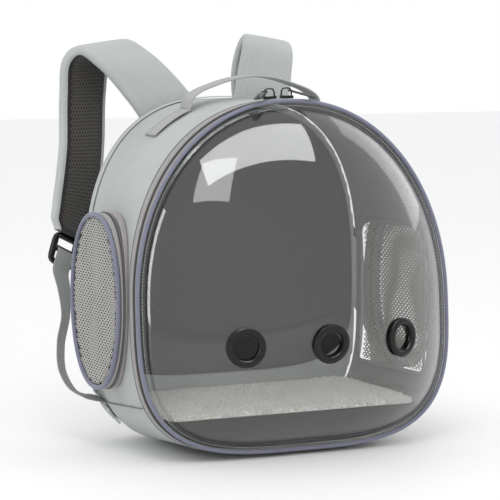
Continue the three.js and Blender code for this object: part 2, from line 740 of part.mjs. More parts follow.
// A plate on the back, built from outlines at several depths, closed by a flat middle
function stackedPlate(layers) {
  const middleUp = sectionAt(1).widest;
  const front = vec(0, layers[0].back, middleUp);
  const rear = vec(0, layers[layers.length - 1].back, middleUp);
  const sections = ROUND_ANGLES.map((_, i) => {
    const points = layers.map((layer) => vec(layer.outline[i].x, layer.back, layer.outline[i].z));
    return [front, ...points, rear];
  });
  return loft(sections, true);
}

const backFace = BODY_DEPTH + CLEAR + BACK_PAD_THICK;

function addBack() {
  const crown = 3 * BACK_PAD_THICK;
  addMesh('back_panel', stackedPlate([
    { back: BODY_DEPTH + CLEAR, outline: backOutline(0) },
    { back: BODY_DEPTH + CLEAR + BACK_EDGE_THICK, outline: backOutline(0) },
    { back: backFace, outline: backOutline(crown) },
  ]), 'fabric');
  const outline = backOutline(BACK_BOARD_INSET, BACK_BOARD_LOW);
  addMesh('inner_back_board', stackedPlate([
    { back: BODY_DEPTH - BACK_BOARD_THICK, outline },
    { back: BODY_DEPTH, outline },
  ]), 'dark');
  const binding = ARCH_ANGLES.map((angle) => {
    const far = depthAt(angle);
    return bandSection(angle, far - BINDING_WIDTH, far, CLEAR, CLEAR + BINDING_THICK);
  });
  addMesh('back_binding', loft(binding), 'fabric');
}

// Half width inside the body at a height and depth, less a clearance
const insideAt = (back, up) => sideAt(back, up) - WALL - CLEAR;

function addFloor() {
  const core = bodyCore(FLOOR_PAD_FRONT_SHARE, FLOOR_PAD_BACK_SHARE, -WALL - FLOOR_PAD_EASE);
  const [wide, tall] = [2 * RIM_HALF_WIDTH, 2 * FLOOR_PAD_TOP];
  const below = new THREE.BoxGeometry(wide, 2 * BODY_DEPTH, tall);
  addMesh('floor_pad', intersect(core, below.translate(0, MIDDLE_SHIFT, FLOOR_PAD_TOP - tall / 2)), 'dark');
  addMesh('plush_mat', matGeometry(), 'plush');
}

// The plush mat: a slab with rounded edges whose back right corner curls up a little
function matGeometry() {
  const [columns, rows] = [10, 7];
  const lowest = -Math.PI / 2;
  const depth = (share) => rimBack(lowest) + mix(bodyFront, depthAt(lowest), share);
  const front = depth(FLOOR_PAD_FRONT_SHARE) - MAT_OVERHANG;
  const padBack = depth(FLOOR_PAD_BACK_SHARE);
  const bottom = FLOOR_PAD_TOP + CLEAR;
  const sections = [];
  for (let i = 0; i <= rows; i += 1) {
    const k = i / rows;
    const back = mix(front, padBack - 1, k);
    const half = insideAt(back, bottom - 2 * CLEAR) - 2;
    const squareness = 1 - 0.05 * Math.abs(2 * k - 1) ** 6;
    const top = [];
    const under = [];
    for (let j = 0; j <= columns; j += 1) {
      const across = (2 * j) / columns - 1;
      const x = half * squareness * across;
      const edge = Math.max(Math.abs(across) ** 8, Math.abs(2 * k - 1) ** 10);
      const curl = MAT_CURL * Math.max(across, 0) ** 4 * k ** 5;
      const height = MAT_THICK * (1 - 0.55 * edge);
      top.push(vec(x, back, bottom + curl + height));
      under.push(vec(x, back, bottom + curl));
    }
    sections.push([...top, ...under.reverse()]);
  }
  return loft(sections);
}

// Places along a strap. The width keeps the direction that the table gives, so the strap shears
// where it folds over the top instead of twisting. Its end is squared for the buckle.
function strapFrames(rows) {
  const along = rows.map((row) => vec(
    row.out * RIM_HALF_WIDTH,
    backFace + CLEAR + STRAP_COVER_THICK + row.back * STRAP_REACH,
    STRAP_ATTACH_UP + row.rise * (STRAP_PEAK - STRAP_ATTACH_UP),
  ));
  const curve = new THREE.CatmullRomCurve3(along, false, 'centripetal');
  const last = rows.length - 1;
  const frames = [];
  for (let i = 0; i <= STRAP_STEPS; i += 1) {
    const k = i / STRAP_STEPS;
    const place = k * last;
    const [a, b] = [rows[Math.floor(place)], rows[Math.min(Math.floor(place) + 1, last)]];
    const part = place - Math.floor(place);
    const [turn, roll] = [mix(a.turn, b.turn, part) * DEG, mix(a.roll, b.roll, part) * DEG];
    const tangent = curve.getTangent(k);
    const side = vec(Math.cos(turn) * Math.cos(roll), Math.sin(turn) * Math.cos(roll), Math.sin(roll));
    const face = side.clone().cross(tangent).normalize();
    frames.push({ point: curve.getPoint(k), side, face, tangent, width: mix(a.width, b.width, part) });
  }
  return frames;
}

// A flat strip with eased edges along frames, between two heights off their faces
function stripSections(frames, width, from, to, ease) {
  return frames.map((frame) => {
    const half = (width * frame.width) / 2;
    const shoulder = mix(from, to, 0.55);
    const outline = [
      [-half, from],
      [-half, shoulder],
      [-half + ease, to],
      [half - ease, to],
      [half, shoulder],
      [half, from],
    ];
    return outline.map(([across, high]) => frame.point.clone()
      .addScaledVector(frame.side, across)
      .addScaledVector(frame.face, high));
  });
}

function buckleGeometry() {
  const [halfWide, halfLong] = [BUCKLE_WIDTH / 2, BUCKLE_LENGTH / 2];
  const shape = new THREE.Shape();
  const corner = BUCKLE_CORNER;
  shape.moveTo(-halfWide + corner, -halfLong);
  shape.lineTo(halfWide - corner, -halfLong);
  shape.quadraticCurveTo(halfWide, -halfLong, halfWide, -halfLong + corner);
  shape.lineTo(halfWide, halfLong - corner);
  shape.quadraticCurveTo(halfWide, halfLong, halfWide - corner, halfLong);
  shape.lineTo(-halfWide + corner, halfLong);
  shape.quadraticCurveTo(-halfWide, halfLong, -halfWide, halfLong - corner);
  shape.lineTo(-halfWide, -halfLong + corner);
  shape.quadraticCurveTo(-halfWide, -halfLong, -halfWide + corner, -halfLong);
  const slotHalf = halfWide - BUCKLE_BAR;
  for (const end of [-1, 1]) {
    const [inner, outer] = [end * BUCKLE_BAR * 0.5, end * (halfLong - BUCKLE_BAR)];
    const slot = new THREE.Path();
    slot.moveTo(-slotHalf, inner);
    slot.lineTo(slotHalf, inner);
    slot.lineTo(slotHalf, outer);
    slot.lineTo(-slotHalf, outer);
    slot.closePath();
    shape.holes.push(slot);
  }
  const plate = new THREE.ExtrudeGeometry(shape, { depth: BUCKLE_THICK, bevelEnabled: false, curveSegments: 3 });
  return plate.translate(0, 0, -BUCKLE_THICK / 2);
}

function addStrap(rows, side, word) {
  const frames = strapFrames(rows);
  const end = frames[frames.length - 1];
  end.side.addScaledVector(end.tangent, -end.side.dot(end.tangent)).normalize();
  const half = CLEAR / 2;
  const cover = stripSections(frames, STRAP_WIDTH, half, STRAP_COVER_THICK, 3);
  const lining = stripSections(frames, STRAP_WIDTH, -half, -STRAP_LINING_THICK, 3);
  addMesh(`strap_cover_${word}`, loft(cover), 'fabric');
  addMesh(`strap_lining_${word}`, loft(lining), 'lining');
  const buckleMiddle = end.point.clone().addScaledVector(end.tangent, BUCKLE_LENGTH / 2 + CLEAR);
  const buckle = addMesh(`strap_buckle_${word}`, buckleGeometry(), 'black');
  buckle.quaternion.setFromRotationMatrix(new THREE.Matrix4().makeBasis(
    end.side,
    end.tangent,
    end.side.clone().cross(end.tangent),
  ));
  buckle.position.copy(buckleMiddle);
  addWebbing(end, buckleMiddle, side, word);
}

// The anchor tab lies on the base corner, and the webbing ends just above it
function addWebbing(end, buckleMiddle, side, word) {
  const tabTop = side > 0 ? SEAM_RIGHT + FULL_TURN - ANCHOR_DROP * DEG : SEAM_LEFT + ANCHOR_DROP * DEG;
  const tabEnd = tabTop - side * ANCHOR_LENGTH_ANGLE * DEG;
  const tab = anglesBetween(tabTop, tabEnd).map((angle) => {
    const far = depthAt(angle) - ANCHOR_INSET;
    return bandSection(angle, far - WEBBING_WIDTH, far, CLEAR, CLEAR + ANCHOR_THICK);
  });
  addMesh(`strap_anchor_${word}`, loft(tab), 'fabric');
  const tabMiddle = depthAt(tabTop) - ANCHOR_INSET - WEBBING_WIDTH / 2;
  const lift = CLEAR + ANCHOR_THICK / 2;
  const tabEdge = skin(tabTop, tabMiddle, lift);
  const upward = skin(tabTop + side * 2 * DEG, tabMiddle, lift).sub(tabEdge).normalize();
  const seat = tabEdge.addScaledVector(upward, 2 * CLEAR);
  const bend = seat.clone().addScaledVector(upward, WEBBING_WIDTH * 0.5);
  const swing = surfaceNormal(tabTop, tabMiddle).multiplyScalar(WEBBING_WIDTH * 0.3);
  const straight = seat.clone().lerp(bend, 0.4);
  bend.add(swing);
  const edgeLine = skin(tabTop, tabMiddle + 1, lift).sub(skin(tabTop, tabMiddle - 1, lift)).normalize();
  const behind = BUCKLE_THICK / 2 + 2 * CLEAR + WEBBING_THICK / 2;
  const start = buckleMiddle.clone().addScaledVector(end.face, -behind);
  const leave = start.clone().addScaledVector(end.tangent, BUCKLE_LENGTH / 2 + BUCKLE_THICK);
  const path = [start, start.clone().lerp(leave, 0.5), leave];
  for (const row of WEBBING_HANG) {
    const point = leave.clone().lerp(bend, row.along);
    point.x += side * row.bow * RIM_HALF_WIDTH;
    point.z -= row.sag * RIM_HALF_WIDTH;
    path.push(point);
  }
  path.push(bend, straight, seat);
  const curve = new THREE.CatmullRomCurve3(path, false, 'centripetal');
  const frames = spread(0, 1, WEBBING_STEPS).map((k) => {
    const tangent = curve.getTangent(k);
    const { first, from, held, leaves, ends } = WEBBING_TURN;
    const early = THREE.MathUtils.smoothstep(k, from, held) * first;
    const untwist = early + THREE.MathUtils.smoothstep(k, leaves, ends) * (1 - first);
    const across = end.side.clone().multiplyScalar(-side).lerp(edgeLine, untwist);
    // The last section is mitred to the tab's edge.
    if (k < 1) across.addScaledVector(tangent, -across.dot(tangent)).normalize();
    return { point: curve.getPoint(k), side: across, face: across.clone().cross(tangent).normalize() };
  });
  const strip = frames.map((frame) => stripSection(frame, WEBBING_WIDTH, WEBBING_THICK));
  addMesh(`strap_webbing_${word}`, loft(strip), 'webbing');
}

// Corners of a plain flat strip at one frame of its path
function stripSection(frame, width, thick) {
  const corners = [[-0.5, -0.5], [-0.5, 0.5], [0.5, 0.5], [0.5, -0.5]];
  return corners.map(([across, high]) => frame.point.clone()
    .addScaledVector(frame.side, across * width)
    .addScaledVector(frame.face, high * thick));
}

function addHandle() {
  const depth = (angle) => HANDLE_BACK - rimBack(angle);
  const rightEdge = angleForX(HANDLE_HALF_SPAN, depth(Math.PI / 2));
  const lift = CLEAR + HANDLE_THICK / 2;
  const sewn = anglesBetween(rightEdge - HANDLE_PATCH_ANGLE * DEG, rightEdge);
  const seat = skin(rightEdge, depth(rightEdge), lift);
  const arc = HANDLE_ARC.map((row) => (
    vec(row.along * HANDLE_HALF_SPAN, HANDLE_BACK, seat.z + row.rise * HANDLE_RISE)));
  const mirrored = (point) => vec(-point.x, point.y, point.z);
  const path = [seat, ...arc, ...arc.slice(0, -1).reverse().map(mirrored), mirrored(seat)];
  const free = path.map((point, i) => {
    const next = path[Math.min(i + 1, path.length - 1)];
    const tangent = next.clone().sub(path[Math.max(i - 1, 0)]).normalize();
    return stripSection({ point, side: vec(0, 1, 0), face: vec(0, 1, 0).cross(tangent) }, HANDLE_WIDTH, HANDLE_THICK);
  });
  const reach = HANDLE_WIDTH / 2;
  const right = sewn.map((angle) => (
    bandSection(angle, depth(angle) - reach, depth(angle) + reach, CLEAR, CLEAR + HANDLE_THICK)));
  const left = right.map((section) => section.map(mirrored)).reverse();
  addMesh('carry_handle', loft([...right, ...free.slice(1, -1), ...left]), 'webbing');
}

// A round bar along points, with few facets
function barAlong(points, radius, steps) {
  const round = new THREE.Shape();
  round.absarc(0, 0, radius, 0, FULL_TURN);
  const curve = new THREE.CatmullRomCurve3(points, false, 'centripetal');
  return new THREE.ExtrudeGeometry(round, { steps, extrudePath: curve, curveSegments: 3 });
}

// The slider: a block that rides on the coil, with a bridge arched over it along the zip
function sliderGeometry() {
  const [half, wide, high] = [SLIDER_LENGTH / 2, SLIDER_WIDTH / 2, SLIDER_THICK];
  const shape = new THREE.Shape();
  shape.moveTo(-half, -wide * 0.6);
  shape.lineTo(-half * 0.55, -wide);
  shape.lineTo(half, -wide * 0.75);
  shape.lineTo(half, wide * 0.75);
  shape.lineTo(-half * 0.55, wide);
  shape.lineTo(-half, wide * 0.6);
  shape.closePath();
  const block = new THREE.ExtrudeGeometry(shape, { depth: high, bevelEnabled: false });
  const leg = half - BRIDGE_RADIUS;
  const peak = high + BRIDGE_RISE - BRIDGE_RADIUS;
  const bridge = barAlong([
    vec(-leg, 0, high / 2),
    vec(-leg, 0, mix(high, peak, 0.65)),
    vec(-leg * 0.75, 0, peak),
    vec(leg * 0.75, 0, peak),
    vec(leg, 0, mix(high, peak, 0.65)),
    vec(leg, 0, high / 2),
  ], BRIDGE_RADIUS, 9);
  return join(block, bridge);
}

// The pull: a flat tab that narrows to an eye, drawn along -Y from the eye's centre
function pullGeometry() {
  const eye = PULL_EYE_HOLE + 1.3;
  const half = PULL_WIDTH / 2;
  const end = -(PULL_LENGTH - eye);
  const shape = new THREE.Shape();
  shape.moveTo(-eye * 0.75, -eye * 0.66);
  shape.lineTo(-half, -eye * 2);
  shape.lineTo(-half, end + half);
  shape.quadraticCurveTo(-half, end, 0, end);
  shape.quadraticCurveTo(half, end, half, end + half);
  shape.lineTo(half, -eye * 2);
  shape.lineTo(eye * 0.75, -eye * 0.66);
  shape.absarc(0, 0, eye, -0.72, Math.PI + 0.72);
  const hole = new THREE.Path();
  hole.absarc(0, 0, PULL_EYE_HOLE, 0, FULL_TURN);
  const slot = new THREE.Path();
  slot.absarc(0, end + half * 1.1, half * 0.42, 0, FULL_TURN);
  shape.holes.push(hole, slot);
  const plate = new THREE.ExtrudeGeometry(shape, { depth: PULL_THICK, bevelEnabled: false, curveSegments: 5 });
  return plate.translate(0, 0, -PULL_THICK / 2);
}

// Yaw turns a pull sideways and slope lays it down over the piping
const SLIDERS = [
  { word: 'left', side: -1, yaw: -42, slope: 11 },
  { word: 'right', side: 1, yaw: 30, slope: 14 },
];

function addSliders() {
  const depth = (coilNear + coilFar) / 2;
  for (const { word, side, yaw, slope } of SLIDERS) {
    const angle = angleForX(SLIDER_MIDDLE + (side * SLIDER_SPACING) / 2, depth);
    const place = new THREE.Group();
    const up = surfaceNormal(angle, depth);
    const back = vec(0, 1, 0).addScaledVector(up, -up.y).normalize();
    const basis = new THREE.Matrix4().makeBasis(back.clone().cross(up), back, up);
    place.quaternion.setFromRotationMatrix(basis);
    place.position.copy(skin(angle, depth, COIL_HEIGHT + 2 * CLEAR));
    model.add(place);
    addMesh(`slider_${word}`, sliderGeometry(), 'metal', place);
    const pull = addMesh(`pull_${word}`, pullGeometry(), 'metal', place);
    pull.position.set(side * (SLIDER_LENGTH / 2 - BRIDGE_RADIUS), 0, SLIDER_THICK + PULL_EYE_UP);
    pull.rotation.set(slope * DEG, 0, yaw * DEG, 'ZXY');
  }
}

// Plain sliders on the pocket zips, at the back where the pocket hides them
function addPocketSlider(side, word) {
  const place = ovalPoint(0, 0);
  const high = SLIDER_THICK;
  const block = new THREE.BoxGeometry(SLIDER_WIDTH * 0.7, high, POCKET_SLIDER_LENGTH);
  const mesh = addMesh(`pocket_slider_${word}`, block, 'metal');
  const outerEdge = pocketTop - 2 * POCKET_PIPING_RADIUS - CLEAR;
  const x = mix(outerEdge, sideAt(place.back, place.up), 0.48);
  mesh.position.set(side * x, place.back + high / 2 + CLEAR, place.up);
}

addBody();
addRim();
addDome();
addBack();
addFloor();
for (const [side, word] of [[-1, 'left'], [1, 'right']]) {
  addPocket(side, word);
  addPocketSlider(side, word);
}
addStrap(LEFT_STRAP, -1, 'left');
addStrap(RIGHT_STRAP, 1, 'right');
addHandle();
addSliders();

export default model;
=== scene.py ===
# %% [markdown]
# # A pet carrier backpack
# The object is a small rigid-looking bag: a fabric arch with a clear domed door, three air grommets,
# two raised mesh pockets, a plush mat and padded straps. The solids of the part are loaded first and
# stay as they are. Every soft or finely shaped piece is then built again over its solid, in the same
# place, because a solid with a few flat faces can't show cloth, thread or clear plastic.

# %% Load the part
import math

import bmesh
import bpy
import numpy as np
from mathutils import Matrix, Vector


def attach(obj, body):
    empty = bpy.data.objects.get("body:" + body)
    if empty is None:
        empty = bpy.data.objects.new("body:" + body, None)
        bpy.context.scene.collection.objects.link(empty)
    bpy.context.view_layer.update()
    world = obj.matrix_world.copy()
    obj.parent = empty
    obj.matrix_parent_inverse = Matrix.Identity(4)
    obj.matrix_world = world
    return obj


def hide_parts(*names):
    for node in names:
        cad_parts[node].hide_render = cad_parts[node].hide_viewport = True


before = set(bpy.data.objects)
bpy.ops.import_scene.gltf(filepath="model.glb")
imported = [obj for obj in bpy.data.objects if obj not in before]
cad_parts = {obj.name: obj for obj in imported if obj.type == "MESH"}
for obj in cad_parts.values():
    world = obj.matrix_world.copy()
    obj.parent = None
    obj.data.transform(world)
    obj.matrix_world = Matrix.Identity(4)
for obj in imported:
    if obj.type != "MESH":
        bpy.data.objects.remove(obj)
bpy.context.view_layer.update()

# %% [markdown]
# ## The body's own surface
# Nearly everything on the bag is sewn to one surface: the arch that runs back from the door's rim.
# It could be read from the solids, but they are faceted. The same rule that made them is cheap to
# write down: a rounded outline at each depth, square at its corners by a power, and leaning back at
# the front. With it, any tape, stitch or fold is a point at an angle round the body, a depth behind
# the rim and a lift off the skin. Sizes here are in millimetres and become metres once, in the mesh.

# %% Sizes of the body
MM = 0.001
DEG = math.pi / 180
FULL_TURN = 2 * math.pi
RIM_HALF_WIDTH, RIM_TOP, RIM_LOW, RIM_LEAN = 177.0, 359.5, 6.0, 4.55
BODY_DEPTH, WALL, SEAM_ANGLE, CLEAR = 178.0, 2.4, 28.4, 0.3
SECTION_AT = np.array([0.0, 0.16, 0.22, 0.75, 1.0])
SECTIONS = {
    "half": np.array([0.999, 0.979, 0.975, 0.945, 0.93]) * RIM_HALF_WIDTH,
    "top": np.array([0.9994, 0.997, 0.998, 1.003, 1.0]) * RIM_TOP,
    "low": np.array([1.03, 0.5, 0.15, -0.7, 0.7]) * RIM_LOW,
    "widest": np.array([0.43, 0.4265, 0.425, 0.42, 0.42]) * RIM_TOP,
    "shoulder": np.array([2.1, 2.21, 2.25, 2.6, 2.75]),
    "corner": np.array([3.4, 3.545, 3.6, 3.9, 3.9]),
}
SEAM_RIGHT, SEAM_LEFT = -SEAM_ANGLE * DEG, math.pi + SEAM_ANGLE * DEG
print("rim", 2 * RIM_HALF_WIDTH, "wide and", RIM_TOP, "high")


# %% Points on the skin
def section_value(name, share):
    values = SECTIONS[name]
    i = np.clip(np.searchsorted(SECTION_AT, share, side="right") - 1, 0, len(SECTION_AT) - 2)
    k = (share - SECTION_AT[i]) / (SECTION_AT[i + 1] - SECTION_AT[i])
    return values[i] + (values[i + 1] - values[i]) * k


def outline_point(share, angle, inset=0.0, lowest=0.0):
    c, s = np.cos(angle), np.sin(angle)
    upper = s >= 0
    power = 2 / np.where(upper, section_value("shoulder", share), section_value("corner", share))
    half, widest = section_value("half", share) - inset, section_value("widest", share)
    low = np.maximum(section_value("low", share) + inset, lowest if inset else -1e9)
    reach = np.where(upper, section_value("top", share) - inset, low) - widest
    x = np.sign(c) * half * np.abs(c) ** power
    z = widest + reach * np.abs(s) ** power
    return x, np.maximum(z, 0.0)


def rim_back(angle):
    angle = np.asarray(angle, float)
    return (outline_point(np.zeros_like(angle), angle)[1] - RIM_LOW) * math.tan(RIM_LEAN * DEG)


def depth_at(angle):
    return BODY_DEPTH - rim_back(angle)


def surface(angle, depth):
    angle, depth = np.broadcast_arrays(np.asarray(angle, float), np.asarray(depth, float))
    x, z = outline_point(depth / depth_at(angle), angle)
    return np.stack([x, rim_back(angle) + depth - BODY_DEPTH / 2, z], -1)


def unit(v):
    v = np.asarray(v, float)
    return v / np.maximum(np.linalg.norm(v, axis=-1, keepdims=True), 1e-12)


def normal(angle, depth):
    around = surface(angle + 0.02, depth) - surface(angle - 0.02, depth)
    along = surface(angle, np.asarray(depth, float) + 1.5) - surface(angle, np.asarray(depth, float) - 1.5)
    return unit(np.cross(along, around))


def skin(angle, depth, lift):
    angle, depth = np.asarray(angle, float), np.asarray(depth, float)
    return surface(angle, depth) + normal(angle, depth) * np.asarray(lift, float)[..., None]


def angle_for_x(x, depth):
    low, high = 0.0, math.pi
    for _ in range(40):
        middle = (low + high) / 2
        low, high = (middle, high) if surface(middle, depth)[0] > x else (low, middle)
    return (low + high) / 2


def side_x(back, up):
    """Half width of the body at a depth behind the rim's foot and a height, both in millimetres."""
    back, up = np.broadcast_arrays(np.asarray(back, float), np.asarray(up, float))
    low, high = np.full(back.shape, -math.pi / 2), np.full(back.shape, math.pi / 2)
    for _ in range(40):
        middle = (low + high) / 2
        below = surface(middle, back - rim_back(middle))[..., 2] < up
        low, high = np.where(below, middle, low), np.where(below, high, middle)
    return surface(low, back - rim_back(low))[..., 0]


print("top of the body", np.round(surface(math.pi / 2, 60.0), 1))


# %% [markdown]
# ## From rings of points to a piece
# A band, a tube, a strap and the fabric wall are all the same thing to a mesh: a list of rings of
# equal length, joined by quads. Drawing them by hand would be slow and uneven. One helper joins the
# rings, closes the ends by pairing the ring's points across, turns the faces outwards and lays a UV
# map in metres along and across the piece, which the weaves follow.

# %% Helpers for meshes
carrier = "carrier"


def quads(n, m, wrap_path, wrap_ring):
    i, j = np.meshgrid(np.arange(n if wrap_path else n - 1), np.arange(m if wrap_ring else m - 1), indexing="ij")
    i, j = i.ravel(), j.ravel()
    corners = [(i, j), (i + 1, j), (i + 1, j + 1), (i, j + 1)]
    faces = np.stack([(a % n) * m + b % m for a, b in corners], -1)
    return faces, np.stack([np.stack([a, b], -1) for a, b in corners], 1)


def run_lengths(points, axis, wrap):
    if wrap:
        points = np.concatenate([points, points.take([0], axis)], axis)
    steps = np.linalg.norm(np.diff(points, axis=axis), axis=-1).mean(1 - axis)
    return np.concatenate([[0.0], np.cumsum(steps)])


def finish_piece(obj, replaced=(), body=carrier):
    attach(obj, body)
    if replaced:
        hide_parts(*replaced)
    print(f"{obj.name}: {len(obj.data.polygons)} faces")
    return obj


def mesh_object(name, points_mm, faces, materials, outward=True, smooth=True):
    mesh = bpy.data.meshes.new(name)
    mesh.from_pydata((np.asarray(points_mm).reshape(-1, 3) * MM).tolist(), [], [list(map(int, f)) for f in faces])
    for material in materials:
        mesh.materials.append(material)
    obj = bpy.data.objects.new(name, mesh)
    bpy.context.scene.collection.objects.link(obj)
    if outward:
        shell = bmesh.new()
        shell.from_mesh(mesh)
        bmesh.ops.recalc_face_normals(shell, faces=shell.faces)
        shell.to_mesh(mesh)
        shell.free()
    if smooth:
        mesh.shade_smooth()
    return obj


def set_uv(mesh, face_uv):
    layer = mesh.uv_layers.new(name="cloth")
    flat = np.zeros((len(mesh.loops), 2), np.float32)
    for polygon, uv in zip(mesh.polygons, face_uv):
        order = {v: k for k, v in enumerate(uv[0])}
        for loop in polygon.loop_indices:
            flat[loop] = uv[1][order[mesh.loops[loop].vertex_index]]
    layer.data.foreach_set("uv", flat.ravel())


def ring_piece(name, rings, materials, wrap_path=False, sharp=None, inner_from=None):
    """A closed solid from rings (path, ring, 3) in millimetres. inner_from gives inner faces slot 1."""
    rings = np.asarray(rings, float)
    n, m = rings.shape[:2]
    faces, corners = quads(n, m, wrap_path, True)
    u = run_lengths(rings, 0, wrap_path) * MM
    v = run_lengths(rings, 1, True) * MM
    uv = np.stack([u[corners[..., 0]], v[corners[..., 1]]], -1)
    faces, uv = list(faces), list(uv)
    inner = [] if inner_from is None else [k for k, c in enumerate(corners[:, 0, 1]) if c >= inner_from]
    if not wrap_path:
        for base in (0, (n - 1) * m):
            for j in range(m // 2 - 1):
                cap = np.array([j, j + 1, m - 2 - j, m - 1 - j]) + base
                faces.append(cap)
                uv.append(np.stack([np.full(4, u[0]), v[cap - base]], -1))
    obj = mesh_object(name, rings, faces, materials)
    set_uv(obj.data, [(f, t) for f, t in zip(faces, uv)])
    for k in inner:
        obj.data.polygons[k].material_index = 1
    if sharp is not None:
        obj.data.set_sharp_from_angle(angle=sharp * DEG)
    return obj


def baked(obj):
    """The evaluated object as a plain mesh, with its modifiers removed."""
    bpy.context.view_layer.update()
    mesh = bpy.data.meshes.new_from_object(obj.evaluated_get(bpy.context.evaluated_depsgraph_get()))
    old = obj.data
    obj.modifiers.clear()
    obj.data = mesh
    bpy.data.meshes.remove(old)
    mesh.name = obj.name
    return obj


def welded(obj, reach=1e-6):
    """Joins doubled points, such as a ring drawn in to one point, and turns the faces out."""
    shell = bmesh.new()
    shell.from_mesh(obj.data)
    bmesh.ops.remove_doubles(shell, verts=shell.verts, dist=reach)
    bmesh.ops.recalc_face_normals(shell, faces=shell.faces)
    shell.to_mesh(obj.data)
    shell.free()
    return obj


def ripple(u, v, size, seed):
    """A smooth, repeatable unevenness from -1 to 1, for cloth, with a typical size in millimetres."""
    rng = np.random.default_rng(seed)
    total = np.zeros(np.broadcast(u, v).shape)
    for _ in range(7):
        turn, phase = rng.uniform(0, FULL_TURN, 2)
        wave = FULL_TURN / (size * rng.uniform(0.7, 1.8))
        total = total + np.sin((u * math.cos(turn) + v * math.sin(turn)) * wave + phase)
    return total / 4.0


print("helpers ready")


# %% [markdown]
# ## Cloth, thread, plastic and metal
# On the real bag the finishes differ more by their surface than by their colour: a fine tight weave,
# ribbed tape, knitted net, wet-looking plastic. Photographs of cloth would do it, but they can't
# be resized and they show their seams. A weave is only two waves crossed, so it is made from the UV
# map in metres, and its pitch is then a real length that holds on every piece.

# %% Material helpers
def paint(name, colour, roughness, metallic=0.0, sheen=0.0, coat=0.0, specular=0.5):
    material = bpy.data.materials.new(name)
    material.use_nodes = True
    tree = material.node_tree
    shader = tree.nodes["Principled BSDF"]
    shader.inputs["Base Color"].default_value = (*colour, 1)
    shader.inputs["Roughness"].default_value = roughness
    shader.inputs["Metallic"].default_value = metallic
    shader.inputs["Sheen Weight"].default_value = sheen
    shader.inputs["Coat Weight"].default_value = coat
    shader.inputs["Specular IOR Level"].default_value = specular
    return material, tree, shader


def add(tree, kind, values=None, links=None, **settings):
    node = tree.nodes.new(kind)
    for key, value in settings.items():
        setattr(node, key, value)
    for key, value in (values or {}).items():
        node.inputs[key].default_value = value
    for key, socket in (links or {}).items():
        tree.links.new(socket, node.inputs[key])
    return node


def math_node(tree, operation, first, second=0.5):
    node = add(tree, "ShaderNodeMath", operation=operation)
    for i, value in enumerate((first, second)):
        if isinstance(value, (int, float)):
            node.inputs[i].default_value = value
        else:
            tree.links.new(value, node.inputs[i])
    return node.outputs[0]


def noise(tree, scale, detail=3.0, roughness=0.55):
    place = add(tree, "ShaderNodeTexCoord")
    return add(tree, "ShaderNodeTexNoise", {"Scale": scale, "Detail": detail, "Roughness": roughness},
               {"Vector": place.outputs["Object"]}).outputs["Fac"]


def two_tone(tree, factor, dark, light):
    ramp = add(tree, "ShaderNodeValToRGB", links={"Fac": factor})
    ramp.color_ramp.elements[0].position, ramp.color_ramp.elements[1].position = 0.3, 0.7
    ramp.color_ramp.elements[0].color, ramp.color_ramp.elements[1].color = (*dark, 1), (*light, 1)
    return ramp.outputs["Color"]


def shade(colour, factor):
    return tuple(min(c * factor, 1.0) for c in colour)


def times(tree, first, second):
    node = add(tree, "ShaderNodeMix", data_type="RGBA", blend_type="MULTIPLY")
    factor = next(i for i in node.inputs if i.type == "VALUE")
    colours = [i for i in node.inputs if i.type == "RGBA"]
    factor.default_value = 1.0
    for socket, value in zip(colours, (first, second)):
        tree.links.new(value, socket)
    return next(o for o in node.outputs if o.type == "RGBA")


def weave_height(tree, pitch_u, pitch_v):
    """Crossed waves on the UV map: high where a thread comes over, low where it goes under."""
    uv = add(tree, "ShaderNodeUVMap", uv_map="cloth")
    apart = add(tree, "ShaderNodeSeparateXYZ", links={"Vector": uv.outputs["UV"]})
    wave_u = math_node(tree, "SINE", math_node(tree, "MULTIPLY", apart.outputs["X"], FULL_TURN / pitch_u))
    wave_v = math_node(tree, "SINE", math_node(tree, "MULTIPLY", apart.outputs["Y"], FULL_TURN / pitch_v))
    product = math_node(tree, "MULTIPLY", wave_u, wave_v)
    return math_node(tree, "MULTIPLY_ADD", product, 0.5)


def bump(tree, shader, height, distance, strength=0.6, under=None):
    node = add(tree, "ShaderNodeBump", {"Strength": strength, "Distance": distance}, {"Height": height})
    if under is not None:
        tree.links.new(under.outputs["Normal"], node.inputs["Normal"])
    tree.links.new(node.outputs["Normal"], shader.inputs["Normal"])
    return node


def woven(name, colour, pitch_u=0.0011, pitch_v=0.0011, roughness=0.85, depth=0.00018, sheen=0.2, mottle=0.06,
          cloud=14.0):
    material, tree, shader = paint(name, colour, roughness, sheen=sheen, specular=0.25)
    broad = two_tone(tree, noise(tree, cloud), shade(colour, 1 - mottle), shade(colour, 1 + mottle))
    flecks = two_tone(tree, noise(tree, 1400.0, 1.0), (0.86, 0.86, 0.86), (1.0, 1.0, 1.0))
    threads = weave_height(tree, pitch_u, pitch_v)
    shadow = two_tone(tree, threads, (0.84, 0.84, 0.84), (1.0, 1.0, 1.0))
    cloth_colour = times(tree, times(tree, broad, flecks), shadow)
    tree.links.new(cloth_colour, shader.inputs["Base Color"])
    soft = bump(tree, shader, noise(tree, 60.0, 4.0), 0.0008, 0.35)
    bump(tree, shader, threads, depth, 0.7, soft)
    return material


print("material helpers ready")


# %% [markdown]
# ## The finishes of this bag
# The outer fabric is a pale cool grey oxford, the tapes are warmer and ribbed, the pipings are
# lavender and slightly waxy, the nets are warm grey yarn, and the strap linings are a dark spacer
# mesh. Each is one call to a weave or to a plain shader with grain, so that they stay one family.

